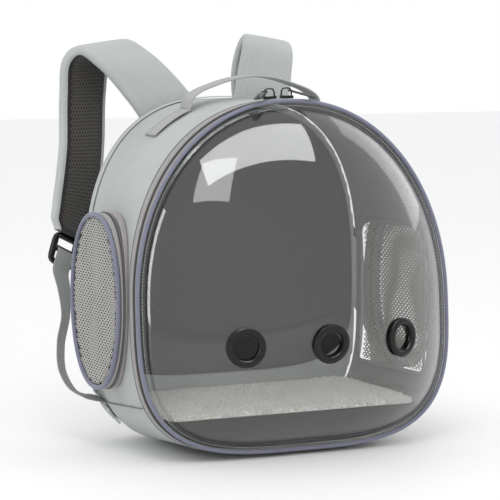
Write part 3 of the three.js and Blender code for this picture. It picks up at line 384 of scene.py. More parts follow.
# %% Fabrics
OUTER = (0.5, 0.527, 0.518)
fabric = woven("grey oxford fabric", OUTER, 0.0012, 0.0012)
lining = woven("cabin lining", (0.33, 0.335, 0.322), 0.001, 0.001, mottle=0.04, sheen=0.1)
# Near-black lining for the back board, the floor pad and the left pocket's backing: painted shade, for mid-grey cloth
# that only looks this dark because it lies in shade.
shade_painted_lining = woven("board lining painted with shade", (0.05, 0.052, 0.049), 0.001, 0.001, mottle=0.05, sheen=0.15)
zip_tape = woven("zip tape", (0.37, 0.352, 0.345), 0.0009, 0.0022, depth=0.00025, mottle=0.04)
webbing_cloth = woven("webbing", (0.33, 0.34, 0.332), 0.0016, 0.0032, depth=0.0004, mottle=0.05)
strap_pad = woven("strap pad", (0.022, 0.02, 0.019), 0.003, 0.003, depth=0.0004, mottle=0.1)
piping_cloth = woven("lavender piping", (0.2, 0.208, 0.285), 0.0014, 0.0014, roughness=0.5, mottle=0.05)
trim_cloth = woven("dark trim", (0.19, 0.195, 0.235), 0.0014, 0.0014, roughness=0.6, mottle=0.05)
handle_cloth = woven("handle webbing", (0.43, 0.44, 0.43), 0.0016, 0.0032, depth=0.0004, mottle=0.05)
net_yarn = woven("net yarn", (0.43, 0.425, 0.40), 0.0008, 0.0008, mottle=0.05)
strap_yarn = woven("strap mesh yarn", (0.085, 0.078, 0.072), 0.0008, 0.0008, mottle=0.08)
print("fabrics", len(bpy.data.materials))


# %% Thread, plush, plastic and metal
def grained(name, colour, roughness, metallic=0.0, coat=0.0, sheen=0.0, grain=500.0, depth=0.00004, mottle=0.1,
            specular=0.5):
    material, tree, shader = paint(name, colour, roughness, metallic, sheen, coat, specular)
    tree.links.new(two_tone(tree, noise(tree, 30.0), shade(colour, 1 - mottle), shade(colour, 1 + mottle)),
                   shader.inputs["Base Color"])
    fine = noise(tree, grain, 2.0)
    spread = add(tree, "ShaderNodeMapRange", {"To Min": max(roughness - 0.08, 0.03), "To Max": roughness + 0.1},
                 {"Value": fine})
    tree.links.new(spread.outputs["Result"], shader.inputs["Roughness"])
    bump(tree, shader, fine, depth, 0.5)
    return material


thread = grained("sewing thread", (0.62, 0.64, 0.63), 0.7, sheen=0.2, grain=2500.0)
dark_thread = grained("dark thread", (0.05, 0.05, 0.052), 0.7, grain=2500.0)
plush = grained("plush", (0.93, 0.925, 0.90), 0.95, sheen=0.5, grain=700.0, depth=0.0006, mottle=0.05)
black_plastic = grained("black plastic", (0.005, 0.005, 0.0055), 0.2, specular=0.3, grain=900.0, depth=0.00001)
coil_plastic = grained("zip coil", (0.2, 0.193, 0.19), 0.4, grain=900.0)
gunmetal = grained("gunmetal", (0.02, 0.02, 0.022), 0.28, metallic=0.5, grain=1200.0, depth=0.00002)
print("materials", len(bpy.data.materials))


# %% [markdown]
# ## Clear plastic that lets the cabin show
# The door is a sheet of clear, slightly smoky plastic. Glass with refraction would do for a solid
# lump, but it blocks the lamps and leaves the cabin black. A thin sheet hardly bends what is behind
# it, so it is a tinted see-through shader with a gloss laid over it, stronger where the sheet is
# seen at a slant, as on any clear plastic.

# %% Clear window
def clear_sheet(name, tint, least_gloss):
    material = bpy.data.materials.new(name)
    material.use_nodes = True
    tree = material.node_tree
    shader = tree.nodes["Principled BSDF"]
    shader.inputs["Base Color"].default_value = (0.62, 0.63, 0.63, 1)
    shader.inputs["Roughness"].default_value = 0.035
    shader.inputs["Specular IOR Level"].default_value = 0.9
    through = add(tree, "ShaderNodeBsdfTransparent", {"Color": (*tint, 1)})
    slant = add(tree, "ShaderNodeLayerWeight", {"Blend": 0.5})
    steep = math_node(tree, "POWER", slant.outputs["Facing"], 4.0)
    edge = add(tree, "ShaderNodeMapRange", {"To Min": least_gloss, "To Max": 0.9}, {"Value": steep})
    gloss = add(tree, "ShaderNodeBsdfGlossy", {"Color": (0.95, 0.96, 0.97, 1), "Roughness": 0.03})
    film = add(tree, "ShaderNodeMixShader", links={"Fac": edge.outputs["Result"]})
    tree.links.new(through.outputs[0], film.inputs[1])
    tree.links.new(gloss.outputs[0], film.inputs[2])
    haze = add(tree, "ShaderNodeMixShader", {"Fac": 0.01})
    tree.links.new(film.outputs[0], haze.inputs[1])
    tree.links.new(shader.outputs[0], haze.inputs[2])
    wobble = add(tree, "ShaderNodeBump", {"Strength": 0.06, "Distance": 0.004},
                 {"Height": noise(tree, 9.0, 1.0)})
    for node in (slant, gloss, shader):
        tree.links.new(wobble.outputs["Normal"], node.inputs["Normal"])
    tree.links.new(haze.outputs[0], tree.nodes["Material Output"].inputs["Surface"])
    return material


clear_plastic = clear_sheet("clear plastic", (0.90, 0.90, 0.893), 0.045)
print("clear sheet", clear_plastic.name)


# %% [markdown]
# ## Rows of stitches and zip teeth
# A seam is one stitch repeated at a pitch, and a zip is one tooth repeated at a pitch. Placing
# thousands of them by a loop would be slow and hard to change. Geometry Nodes walk along a line,
# drop an instance at every pitch, turn it to the line and to the cloth under it, and make it real.

# %% Geometry Nodes tree for a row along a line
def new_tree(name, inputs):
    tree = bpy.data.node_groups.new(name, "GeometryNodeTree")
    tree.interface.new_socket("Geometry", in_out="INPUT", socket_type="NodeSocketGeometry")
    for label, kind, value in inputs:
        socket = tree.interface.new_socket(label, in_out="INPUT", socket_type=kind)
        if value is not None:
            socket.default_value = value
    tree.interface.new_socket("Geometry", in_out="OUTPUT", socket_type="NodeSocketGeometry")
    return tree, tree.nodes.new("NodeGroupInput"), tree.nodes.new("NodeGroupOutput")


def row_tree():
    tree, entry, exit_node = new_tree("row along a line", [
        ("Pitch", "NodeSocketFloat", 0.003), ("Size", "NodeSocketVector", (0.002, 0.0006, 0.0006)),
        ("Detail", "NodeSocketInt", 1), ("Finish", "NodeSocketMaterial", None)])
    line = add(tree, "GeometryNodeMeshToCurve", links={"Mesh": entry.outputs["Geometry"]})
    even = add(tree, "GeometryNodeResampleCurve", links={"Curve": line.outputs[0], "Length": entry.outputs["Pitch"]},
               mode="LENGTH")
    ball = add(tree, "GeometryNodeMeshIcoSphere", {"Radius": 0.5}, {"Subdivisions": entry.outputs["Detail"]})
    grain = add(tree, "GeometryNodeTransform", links={"Geometry": ball.outputs[0], "Scale": entry.outputs["Size"]})
    tangent = add(tree, "GeometryNodeInputTangent")
    up = add(tree, "GeometryNodeInputNamedAttribute", {"Name": "up"}, data_type="FLOAT_VECTOR")
    along = add(tree, "FunctionNodeAlignRotationToVector", links={"Vector": tangent.outputs[0]}, axis="X")
    level = add(tree, "FunctionNodeAlignRotationToVector",
                links={"Rotation": along.outputs[0], "Vector": up.outputs[0]}, axis="Z", pivot_axis="X")
    place = add(tree, "GeometryNodeInstanceOnPoints", links={
        "Points": even.outputs[0], "Instance": grain.outputs[0], "Rotation": level.outputs[0]})
    real = add(tree, "GeometryNodeRealizeInstances", links={"Geometry": place.outputs[0]})
    soft = add(tree, "GeometryNodeSetShadeSmooth", links={"Geometry": real.outputs[0]})
    finish = add(tree, "GeometryNodeSetMaterial", links={"Geometry": soft.outputs[0],
                                                         "Material": entry.outputs["Finish"]})
    tree.links.new(finish.outputs[0], exit_node.inputs[0])
    return tree


row_along = row_tree()
print("tree:", row_along.name)


# %% Run a tree and keep its mesh
def through_tree(obj, tree, values):
    modifier = obj.modifiers.new("nodes", "NODES")
    modifier.node_group = tree
    names = {i.name: i.identifier for i in tree.interface.items_tree if i.in_out == "INPUT"}
    for label, value in values.items():
        modifier[names[label]] = value
    return baked(obj)


def row(name, lines, pitch, size, material, detail=1, body=carrier, closed=False, replaced=()):
    """lines is a list of (points, ups) in millimetres; a stitch or tooth is put at every pitch."""
    points, ups, edges = [], [], []
    for line, up in lines:
        start = len(points)
        points += [tuple(p) for p in np.asarray(line) * MM]
        ups += [tuple(u) for u in np.broadcast_to(up, np.shape(line))]
        edges += [(k, k + 1) for k in range(start, len(points) - 1)]
        if closed:
            edges.append((len(points) - 1, start))
    mesh = bpy.data.meshes.new(name)
    mesh.from_pydata(points, edges, [])
    mesh.attributes.new("up", "FLOAT_VECTOR", "POINT").data.foreach_set("vector", np.asarray(ups, np.float32).ravel())
    obj = bpy.data.objects.new(name, mesh)
    bpy.context.scene.collection.objects.link(obj)
    through_tree(obj, row_along, {"Pitch": pitch * MM, "Size": [s * MM for s in size], "Detail": detail,
                                  "Finish": material})
    return finish_piece(obj, replaced, body)


def skin_line(angles, depths, lift):
    angles, depths = np.broadcast_arrays(np.asarray(angles, float), np.asarray(depths, float))
    return skin(angles, depths, lift), normal(angles, depths)


print("rows ready")


# %% [markdown]
# ## Knitted net
# The windows and pockets are open net, and light really passes through its holes, so a picture of
# holes isn't enough. A sheet of triangles turns into a sheet of hexagons by its dual, every hexagon
# is given a hole, and what is left is thickened. The tree does that on any curved sheet.

# %% Geometry Nodes tree for the net
def net_tree():
    tree, entry, exit_node = new_tree("knitted net", [
        ("Hole", "NodeSocketFloat", 0.66), ("Thickness", "NodeSocketFloat", 0.0006),
        ("Finish", "NodeSocketMaterial", None)])
    cells = add(tree, "GeometryNodeDualMesh", {"Keep Boundaries": False}, {"Mesh": entry.outputs["Geometry"]})
    inset = add(tree, "GeometryNodeExtrudeMesh", {"Offset Scale": 0.0, "Individual": True},
                {"Mesh": cells.outputs[0]})
    hole = add(tree, "GeometryNodeScaleElements", links={"Geometry": inset.outputs["Mesh"],
                                                         "Selection": inset.outputs["Top"],
                                                         "Scale": entry.outputs["Hole"]})
    flat = add(tree, "GeometryNodeDeleteGeometry", links={"Geometry": hole.outputs[0],
                                                          "Selection": inset.outputs["Top"]}, domain="FACE")
    joined = add(tree, "GeometryNodeMergeByDistance", {"Distance": 0.00001}, {"Geometry": flat.outputs[0]})
    thick = add(tree, "GeometryNodeExtrudeMesh", {"Individual": False}, {
        "Mesh": joined.outputs[0], "Offset Scale": entry.outputs["Thickness"]})
    under = add(tree, "GeometryNodeFlipFaces", links={"Mesh": joined.outputs[0]})
    both = tree.nodes.new("GeometryNodeJoinGeometry")
    tree.links.new(thick.outputs["Mesh"], both.inputs[0])
    tree.links.new(under.outputs[0], both.inputs[0])
    closed = add(tree, "GeometryNodeMergeByDistance", {"Distance": 0.00001}, {"Geometry": both.outputs[0]})
    real = add(tree, "GeometryNodeRealizeInstances", links={"Geometry": closed.outputs[0]})
    finish = add(tree, "GeometryNodeSetMaterial", links={"Geometry": real.outputs[0],
                                                         "Material": entry.outputs["Finish"]})
    tree.links.new(finish.outputs[0], exit_node.inputs[0])
    return tree


knitted_net = net_tree()
print("tree:", knitted_net.name)


# %% A sheet of triangles for a net
def net_piece(name, place, inside, reach, pitch, hole, thickness, material, replaced=(), body=carrier,
              stretch=1.0, flip=False):
    """place maps two flat coordinates to a point in millimetres, and inside says what is kept."""
    (u0, v0), (u1, v1) = reach
    rise = pitch * math.sqrt(3) / 2 * stretch
    columns, rows = int((u1 - u0) / pitch) + 2, int((v1 - v0) / rise) + 2
    i, j = np.meshgrid(np.arange(columns), np.arange(rows), indexing="ij")
    u, v = u0 + (i + 0.5 * (j % 2)) * pitch, v0 + j * rise
    kept = inside(u, v).ravel()
    index = lambda a, b: a * rows + b
    faces = []
    for a in range(columns - 1):
        for b in range(rows - 1):
            if b % 2 == 0:
                pair = [(index(a, b), index(a + 1, b), index(a, b + 1)),
                        (index(a + 1, b), index(a + 1, b + 1), index(a, b + 1))]
            else:
                pair = [(index(a, b), index(a + 1, b), index(a + 1, b + 1)),
                        (index(a, b), index(a + 1, b + 1), index(a, b + 1))]
            faces += [t if not flip else t[::-1] for t in pair if kept[list(t)].all()]
    obj = mesh_object(name, place(u, v), faces, [], outward=False, smooth=False)
    loose = bmesh.new()
    loose.from_mesh(obj.data)
    bmesh.ops.delete(loose, geom=[v for v in loose.verts if not v.link_faces], context="VERTS")
    loose.to_mesh(obj.data)
    loose.free()
    through_tree(obj, knitted_net, {"Hole": hole, "Thickness": thickness * MM, "Finish": material})
    return finish_piece(obj, replaced, body)


print("net ready")


# %% [markdown]
# ## Camera, floor and light
# The bag was photographed from slightly above, well to its left, with a long lens. The lens and the
# distance were worked out from how its rim and grommets line up. A key box and a weak front fill light
# it. Three more boxes only show as patches on the clear door: one on top, one at each side.

# %% Camera
def camera_at(azimuth, elevation, distance, target, lens):
    data = bpy.data.cameras.new("camera")
    camera = bpy.data.objects.new("camera", data)
    bpy.context.scene.collection.objects.link(camera)
    a, e = azimuth * DEG, elevation * DEG
    back = Vector((math.sin(a) * math.cos(e), -math.cos(a) * math.cos(e), math.sin(e)))
    camera.location = Vector(target) * MM + back * distance * MM
    camera.rotation_mode = "QUATERNION"
    camera.rotation_quaternion = (-back).to_track_quat("-Z", "Y")
    data.lens, data.sensor_width = lens, 36.0
    data.clip_start, data.clip_end = 0.05, 60.0
    bpy.context.scene.camera = camera
    return camera


camera = camera_at(-26.5, 5.3, 2300.0, (-59.3, -89.0, 211.8), 165.6)
print("camera at", tuple(round(c, 3) for c in camera.location))


# %% Floor and soft boxes
def soft_box(name, centre, aim, width, height, power, gloss=1.0):
    data = bpy.data.lights.new(name, "AREA")
    data.shape, data.size, data.size_y, data.energy = "RECTANGLE", width, height, power
    data.specular_factor = gloss
    lamp = bpy.data.objects.new(name, data)
    bpy.context.scene.collection.objects.link(lamp)
    lamp.location = centre
    lamp.rotation_mode = "QUATERNION"
    lamp.rotation_quaternion = (Vector(aim) - Vector(centre)).to_track_quat("-Z", "Y")
    return lamp


floor_material = grained("studio floor", (0.90, 0.90, 0.90), 0.6, grain=40.0, mottle=0.004)
FLOOR_HALF, FLOOR_DROP = 9000, 0.3
floor = mesh_object("studio_floor", [[a * FLOOR_HALF, b * FLOOR_HALF, -FLOOR_DROP]
                                     for a, b in ((-1, -1), (1, -1), (1, 1), (-1, 1))],
                    [(0, 1, 2, 3)], [floor_material], outward=False)
world = bpy.data.worlds.new("studio")
world.use_nodes = True
world.node_tree.nodes["Background"].inputs["Color"].default_value = (1.0, 1.0, 1.0, 1)
world.node_tree.nodes["Background"].inputs["Strength"].default_value = 1.0
bpy.context.scene.world = world
bpy.context.scene.view_settings.view_transform = "Standard"
aim = (0.0, 0.0, 0.2)
soft_box("key_box", (-1.1, -1.6, 2.6), aim, 1.2, 1.2, 17.0, 0.5)
mirrored = [soft_box("top_patch", (0.05, -0.93, 2.45), aim, 2.5, 1.1, 52.0),
            soft_box("left_patch", (-2.4, 0.02, 0.85), aim, 0.42, 1.75, 15.0),
            soft_box("right_patch", (1.9, 0.35, 1.25), aim, 0.9, 1.5, 5.0)]
for lamp in mirrored:
    lamp.visible_diffuse = False
soft_box("front_fill", (-0.4, -2.4, 1.7), aim, 1.2, 1.2, 9.0, 0.0).visible_glossy = False
print("stage ready")


# %% [markdown]
# ## The fabric wall
# One strip of oxford runs over the arch and a second makes the base, both stiffened and lined, with
# a big window cut into each side. A plain extrusion of the outline would look like sheet metal. The
# strip is built as many rings over the skin instead, drawn in a little where it is sewn and slack
# between, and the windows are cut out of it afterwards.

# %% Wall and base
DOOR_BAND_DEPTH, COIL_WIDTH, BODY_TAPE_WIDTH = 10.0, 4.0, 10.0
PIPING_RADIUS, PIPING_STAND = 2.1, 0.2
band_near = PIPING_RADIUS + CLEAR
band_far = band_near + DOOR_BAND_DEPTH
body_front = band_far + CLEAR
coil_near = band_far + CLEAR / 2 - COIL_WIDTH / 2
coil_far = coil_near + COIL_WIDTH
tape_far = coil_far + CLEAR + BODY_TAPE_WIDTH


def slack(angles, depths, seed):
    """How far the cloth lies under the skin: even at the seams, uneven between them."""
    far = depth_at(angles)
    edge = np.minimum(depths - tape_far, far - 9.0 - depths)
    along = angles * 200.0
    pucker = 0.22 * np.sin(along * FULL_TURN / 13.0 + ripple(along, depths, 90.0, seed)) * np.exp(-np.maximum(edge, 0) / 7.0)
    broad = 0.75 * ripple(along, depths * 1.0, 85.0, seed + 1) + 0.25 * ripple(along, depths, 30.0, seed + 2)
    free = 1 - np.exp(-np.maximum(edge, 0) / 16.0)
    return -0.75 + np.where(edge > -1, pucker, 0) + broad * free * 0.75


def shell_rings(angles, rows, seed):
    grid_angles = np.repeat(angles[:, None], len(rows), 1)
    depths = body_front + rows[None, :] * (depth_at(grid_angles) - body_front)
    outer = skin(grid_angles, depths, slack(grid_angles, depths, seed))
    inner = skin(grid_angles, depths, -WALL - 0.25 + 0.12 * ripple(grid_angles * 200, depths, 60.0, seed + 5))
    return np.concatenate([outer, inner[:, ::-1]], 1)


rows = np.linspace(0, 1, 56)
seam_gap = CLEAR / RIM_HALF_WIDTH * 1.4
wall = ring_piece("fabric_wall", shell_rings(np.linspace(SEAM_RIGHT, SEAM_LEFT, 260), rows, 3), [fabric, lining],
                  sharp=50, inner_from=len(rows) - 1)
base = ring_piece("fabric_base", shell_rings(np.linspace(SEAM_LEFT + seam_gap, SEAM_RIGHT + FULL_TURN - seam_gap, 150),
                                             rows, 11), [fabric, lining], sharp=50, inner_from=len(rows) - 1)
finish_piece(base, ["base_panel"])


# %% Windows in the wall
WINDOW_FRONT, WINDOW_BACK, WINDOW_LOW, WINDOW_TOP, WINDOW_CORNER = 36.0, 168.0, 66.0, 225.0, 28.0
WINDOW_HIDDEN = 9.0
POCKET_FRONT, POCKET_BACK_GAP, POCKET_STAND = 43.0, 9.0, 8.5
POCKET_HALF_TALL, POCKET_UP, POCKET_POWER = 91.0, 156.0, 2.15
POCKET_PIPING, POCKET_WALL, POCKET_DENT = 2.6, 1.6, 2.2
pocket_end = BODY_DEPTH - POCKET_BACK_GAP
pocket_middle, pocket_half = (POCKET_FRONT + pocket_end) / 2, (pocket_end - POCKET_FRONT) / 2


def oval_point(angle, inset):
    """The pocket's outline, a superellipse, as a depth behind the rim and a height."""
    power = 2 / POCKET_POWER
    c, s = np.cos(angle), np.sin(angle)
    back = pocket_middle + (pocket_half - inset) * np.sign(c) * np.abs(c) ** power
    up = POCKET_UP + (POCKET_HALF_TALL - inset) * np.sign(s) * np.abs(s) ** power
    return back, up


def bend(start, corner, end, steps=8):
    t = np.linspace(0, 1, steps)[:, None]
    start, corner, end = (np.array(p, float) for p in (start, corner, end))
    return (1 - t) ** 2 * start + 2 * t * (1 - t) * corner + t ** 2 * end


def window_outline(side, grow=0.0):
    """The right window is straight along its top. The left one is an oval that its pocket hides."""
    if side < 0:
        return np.stack(oval_point(np.linspace(0, FULL_TURN, 72, endpoint=False), WINDOW_HIDDEN - grow), -1)
    front, back, low, top = WINDOW_FRONT - grow, WINDOW_BACK + grow, WINDOW_LOW - grow, WINDOW_TOP + grow
    large, small = WINDOW_CORNER + grow, WINDOW_CORNER / 3 + grow
    return np.concatenate([
        bend((back - small, low), (back, low), (back, low + small)),
        bend((back, top - large), (back, top), (back - large, top), 14),
        bend((front + small, top), (front, top), (front, top - small)),
        bend((front, low + small), (front, low), (front + small, low))])


def cutter(side):
    line = window_outline(side)
    rings = [np.stack([np.full(len(line), side * x), line[:, 0] - BODY_DEPTH / 2, line[:, 1]], -1)
             for x in (RIM_HALF_WIDTH * 0.5, RIM_HALF_WIDTH * 1.5)]
    points = np.concatenate(rings)
    count = len(line)
    faces = [(k, (k + 1) % count, count + (k + 1) % count, count + k) for k in range(count)]
    faces += [tuple(range(count)), tuple(range(count, 2 * count))]
    return mesh_object(f"cutter_{side}", points, faces, [fabric], smooth=False)


def cut_out(obj, blocks):
    for block in blocks:
        modifier = obj.modifiers.new("cut", "BOOLEAN")
        modifier.operation, modifier.solver, modifier.object = "DIFFERENCE", "EXACT", block
    baked(obj)
    for block in blocks:
        bpy.data.objects.remove(block)
    return obj


cut_out(wall, [cutter(-1), cutter(1)])
finish_piece(wall, ["body_wall"])


# %% [markdown]
# ## Window nets and their binding
# Inside each opening sits a knitted net, sewn behind a narrow folded tape. The holes are large enough
# to shine white where the light comes through, so the net is real geometry. The tape is a strip that
# follows the opening's outline on the inner face of the wall.


def outline_distance(line, u, v):
    """Signed distance to a closed outline, positive inside, for arrays of points."""
    a, b = line, np.roll(line, -1, 0)
    p = np.stack([u, v], -1)[..., None, :]
    along = ((p - a) * (b - a)).sum(-1) / np.maximum(((b - a) ** 2).sum(-1), 1e-9)
    near = a + np.clip(along, 0, 1)[..., None] * (b - a)
    distance = np.linalg.norm(p - near, axis=-1).min(-1)
    py, ay, by = p[..., 1], a[:, 1], b[:, 1]
    crossing = (ay > py) != (by > py)
    x = a[:, 0] + (py - ay) / np.where(np.abs(by - ay) < 1e-9, 1e-9, by - ay) * (b[:, 0] - a[:, 0])
    inside = (crossing & (p[..., 0] < x)).sum(-1) % 2 == 1
    return np.where(inside, distance, -distance)


def side_place(side, inner):
    def place(u, v):
        x = side * (side_x(u, v) - inner)
        return np.stack([x, u - BODY_DEPTH / 2, v], -1)
    return place


NET_PITCH, NET_FLATNESS, NET_HOLE, NET_THICK = 6.6, 0.47, 0.57, 0.6
for side, word in ((-1, "left"), (1, "right")):
    line = window_outline(side)
    low, high = line.min(0), line.max(0)
    net = net_piece(f"window_net_{word}", side_place(side, WALL / 2 + 0.3),
                    lambda u, v, line=line: outline_distance(line, u, v) > 0.1, (tuple(low), tuple(high)), NET_PITCH,
                    NET_HOLE, NET_THICK, net_yarn, [f"window_mesh_{word}"], stretch=NET_FLATNESS,
                    flip=side < 0)


# %% Binding round the windows
def flat_band(line_mid, across, ups, half_width, thick, lift=0.0, round_share=0.35):
    """A soft-edged strip along a line, as rings of eight points."""
    profile = [(-1, 0), (-1, 0.6), (-1 + round_share * 0.6, 1), (0, 1.08), (1 - round_share * 0.6, 1), (1, 0.6), (1, 0),
               (0, 0)]
    rings = [line_mid + across * (half_width * a) + ups * (lift + thick * h) for a, h in profile]
    return np.stack(rings, 1)


for side, word in ((-1, "left"), (1, "right")):
    inner_line, outer_line = window_outline(side, -3.5), window_outline(side, 2.5)
    place = side_place(side, WALL + 0.45)
    inside_points, outside_points = (place(line[:, 0], line[:, 1]) for line in (inner_line, outer_line))
    middle = (inside_points + outside_points) / 2
    across = unit(outside_points - inside_points)
    inward = np.zeros_like(middle)
    inward[:, 0] = -side
    rings = flat_band(middle, across, inward, 2.6, 0.8)
    finish_piece(ring_piece(f"window_binding_{word}", rings, [lining], wrap_path=True))


# %% [markdown]
# ## The rim: piping, zip tapes and coil
# Where the door meets the body there are, in order, a lavender piping cord in its fabric, the door's
# zip tape, the dark coil, the body's tape and a thin lavender edge. Each is a ring with its own
# section. The coil's teeth are a row at a pitch, and so is the stitching beside it.

# %% Rim rings
around = np.linspace(SEAM_RIGHT, SEAM_RIGHT + FULL_TURN, 360, endpoint=False)


def band_ring(name, near, far, bottom, top, material, nodes, edge=0.5, crown=0.15):
    middle = (near + far) / 2
    half = (far - near) / 2
    soft = [(-1, bottom), (-1, bottom + (top - bottom) * edge), (-0.86, top), (0, top + crown), (0.86, top),
            (1, bottom + (top - bottom) * edge), (1, bottom), (0, bottom)]
    rings = np.stack([skin(around, np.full_like(around, middle + half * a), np.full_like(around, h))
                      for a, h in soft], 1)
    return finish_piece(ring_piece(name, rings, [material], wrap_path=True), nodes)


round_steps = np.linspace(0, FULL_TURN, 14, endpoint=False)
swell = 1 + 0.02 * ripple(around * 200, around * 0, 24.0, 5) - 0.06 * np.exp(-((around + 0.5 * math.pi - FULL_TURN) / 0.02) ** 2)
piping_rings = np.stack([
    skin(around, PIPING_RADIUS * 0.97 * swell * math.cos(t), PIPING_STAND + PIPING_RADIUS * 0.97 * swell * math.sin(t))
    for t in round_steps], 1)
finish_piece(ring_piece("door_piping_cloth", piping_rings, [piping_cloth], wrap_path=True), ["door_piping"])
band_ring("door_tape", band_near, band_far, -WALL, -0.35, zip_tape, ["door_zip_tape"])
band_ring("body_tape", coil_far + CLEAR, tape_far, CLEAR, CLEAR + 0.75, zip_tape, ["body_zip_tape"])
trim_near, trim_far = tape_far + CLEAR, tape_far + CLEAR + 2.0
band_ring("trim_line", trim_near, trim_far, CLEAR, CLEAR + 0.9, trim_cloth, ["zip_trim_line"], crown=0.35)
band_ring("coil_bed", coil_near, coil_far, CLEAR, CLEAR + 0.5, dark_thread, [])

# %% Teeth and stitches of the door zip
coil_line = skin_line(around, (coil_near + coil_far) / 2, CLEAR + 0.95)
row("zip_teeth", [coil_line], 1.5, (1.1, 3.0, 1.7), coil_plastic, 1, closed=True,
    replaced=["zip_coil"])
stitch_lines = [skin_line(around, band_near + 1.6, -0.2), skin_line(around, tape_far - 1.4, CLEAR + 0.85),
                skin_line(around, coil_far + CLEAR + 1.5, CLEAR + 0.85)]
row("zip_stitches", stitch_lines, 3.2, (2.3, 0.5, 0.45), thread, 1, closed=True)


# %% [markdown]
# ## The domed door
# The door is blown from one clear sheet: flat where it is sewn, then rising quickly and rounding off.
# A sphere cap would bulge evenly and look wrong at the corners, so the sheet is drawn as rows between
# the rim and the middle, high by a power of how far out they are. It has a real thickness, a sewn
# lip, and three round holes for the grommets.

# %% Dome sheet
DOME_THICK, DOME_HEIGHT, DOME_LIP, DOME_CENTRE_UP, DOME_ROUNDNESS = 1.5, 73.6, 5.0, 150.0, 0.75
GROMMET_SPACING, GROMMET_UP, GROMMET_OUTER, GROMMET_HOLE = 88.0, 121.0, 20.0, 12.0
GROMMET_SLEEVE, GROMMET_FLANGE = 1.8, 4.2
rim_normal = np.array([0.0, -math.cos(RIM_LEAN * DEG), math.sin(RIM_LEAN * DEG)])
dome_centre = np.array([0.0, (DOME_CENTRE_UP - RIM_LOW) * math.tan(RIM_LEAN * DEG) - BODY_DEPTH / 2, DOME_CENTRE_UP])


def dome_foot(angle, inside):
    rim = surface(angle, np.zeros_like(angle))
    return rim + unit(dome_centre - rim) * (PIPING_RADIUS - PIPING_STAND + CLEAR + inside)


def dome_outer(share, angle):
    share, angle = np.broadcast_arrays(np.asarray(share, float), np.asarray(angle, float))
    flat = dome_centre + (dome_foot(angle, DOME_LIP) - dome_centre) * share[..., None]
    return flat + rim_normal * (DOME_HEIGHT * np.maximum(1 - share ** 2, 0) ** DOME_ROUNDNESS)[..., None]


def dome_normal(share, angle):
    near = np.minimum(np.asarray(share, float), 0.99)
    round_it = dome_outer(near, angle + 0.02) - dome_outer(near, angle - 0.02)
    outwards = dome_outer(near + 0.01, angle) - dome_outer(np.maximum(near - 0.01, 0), angle)
    found = unit(np.cross(outwards, round_it))
    return np.where((near < 0.01)[..., None], rim_normal, found)


dome_rows = np.concatenate([1 - np.linspace(0, 1, 26) ** 2.0 * 0.45, np.linspace(0.55, 0.03, 22)[1:]])
grid_share, grid_angle = np.meshgrid(dome_rows, around[::2], indexing="xy")
outer = dome_outer(grid_share, grid_angle)
inner = outer - dome_normal(grid_share, grid_angle) * (DOME_THICK * 0.9)
inner[:, 0] = dome_foot(around[::2], DOME_LIP) - rim_normal * DOME_THICK
lip = dome_foot(around[::2], 0.2)[:, None]
middle_outer = np.broadcast_to(dome_outer(0.0, 0.0), lip.shape)
middle_inner = middle_outer - rim_normal * DOME_THICK * 0.9
rings = np.concatenate([lip, outer, middle_outer, middle_inner, inner[:, ::-1], lip - rim_normal * DOME_THICK], 1)
dome = ring_piece("clear_dome", rings, [clear_plastic], wrap_path=True)
welded(dome)


# %% Seats of the grommets
def dome_on_ray(flat):
    polar = math.atan2(flat[1], flat[0])
    low, high = polar - math.pi / 2, polar + math.pi / 2
    for _ in range(40):
        middle = (low + high) / 2
        foot = dome_foot(np.float64(middle), DOME_LIP)
        bearing = math.sin(math.atan2(foot[2] - DOME_CENTRE_UP, foot[0]) - polar)
        low, high = (middle, high) if bearing < 0 else (low, middle)
    foot = dome_foot(np.float64(low), DOME_LIP)
    return math.hypot(*flat) / math.hypot(foot[0], foot[2] - DOME_CENTRE_UP), low


def dome_seat(x, up):
    flat = np.array([x, up - DOME_CENTRE_UP], float)
    wanted = flat.copy()
    for _ in range(30):
        share, angle = dome_on_ray(flat)
        point = dome_outer(share, angle)
        flat += wanted - np.array([point[0], point[2] - DOME_CENTRE_UP])
    point, facing = dome_outer(share, angle), dome_normal(np.float64(share), np.float64(angle))
    fall = 0.0
    for turn in np.linspace(0, FULL_TURN, 17):
        edge = dome_on_ray(flat + GROMMET_OUTER * np.array([math.cos(turn), math.sin(turn)]))
        fall = max(fall, float(-(dome_outer(*edge) - point) @ facing))
    return point, facing, fall


seats = [dome_seat(place * GROMMET_SPACING, GROMMET_UP) for place in (-1, 0, 1)]
print("grommets at", [tuple(np.round(s[0], 1)) for s in seats])


# %% Holes and grommets
def turned(profile, point, facing, steps=72):
    """A closed profile of (radius, height) pairs turned round an axis, as rings for ring_piece."""
    across = unit(np.cross(facing, [0.0, 0.0, 1.0]))
    up = np.cross(across, facing)
    turn = np.linspace(0, FULL_TURN, steps, endpoint=False)[:, None, None]
    radius, height = (np.array([p[k] for p in profile])[None, :, None] for k in (0, 1))
    return point + radius * (np.cos(turn) * across + np.sin(turn) * up) + height * facing


def hole_block(seat):
    radius = GROMMET_HOLE + GROMMET_SLEEVE + CLEAR
    rings = turned([(0.001, -12.0), (radius, -12.0), (radius, 12.0), (0.001, 12.0)], seat[0], seat[1], 48)
    return welded(ring_piece("hole_block", rings, [clear_plastic], wrap_path=True), 1e-5)


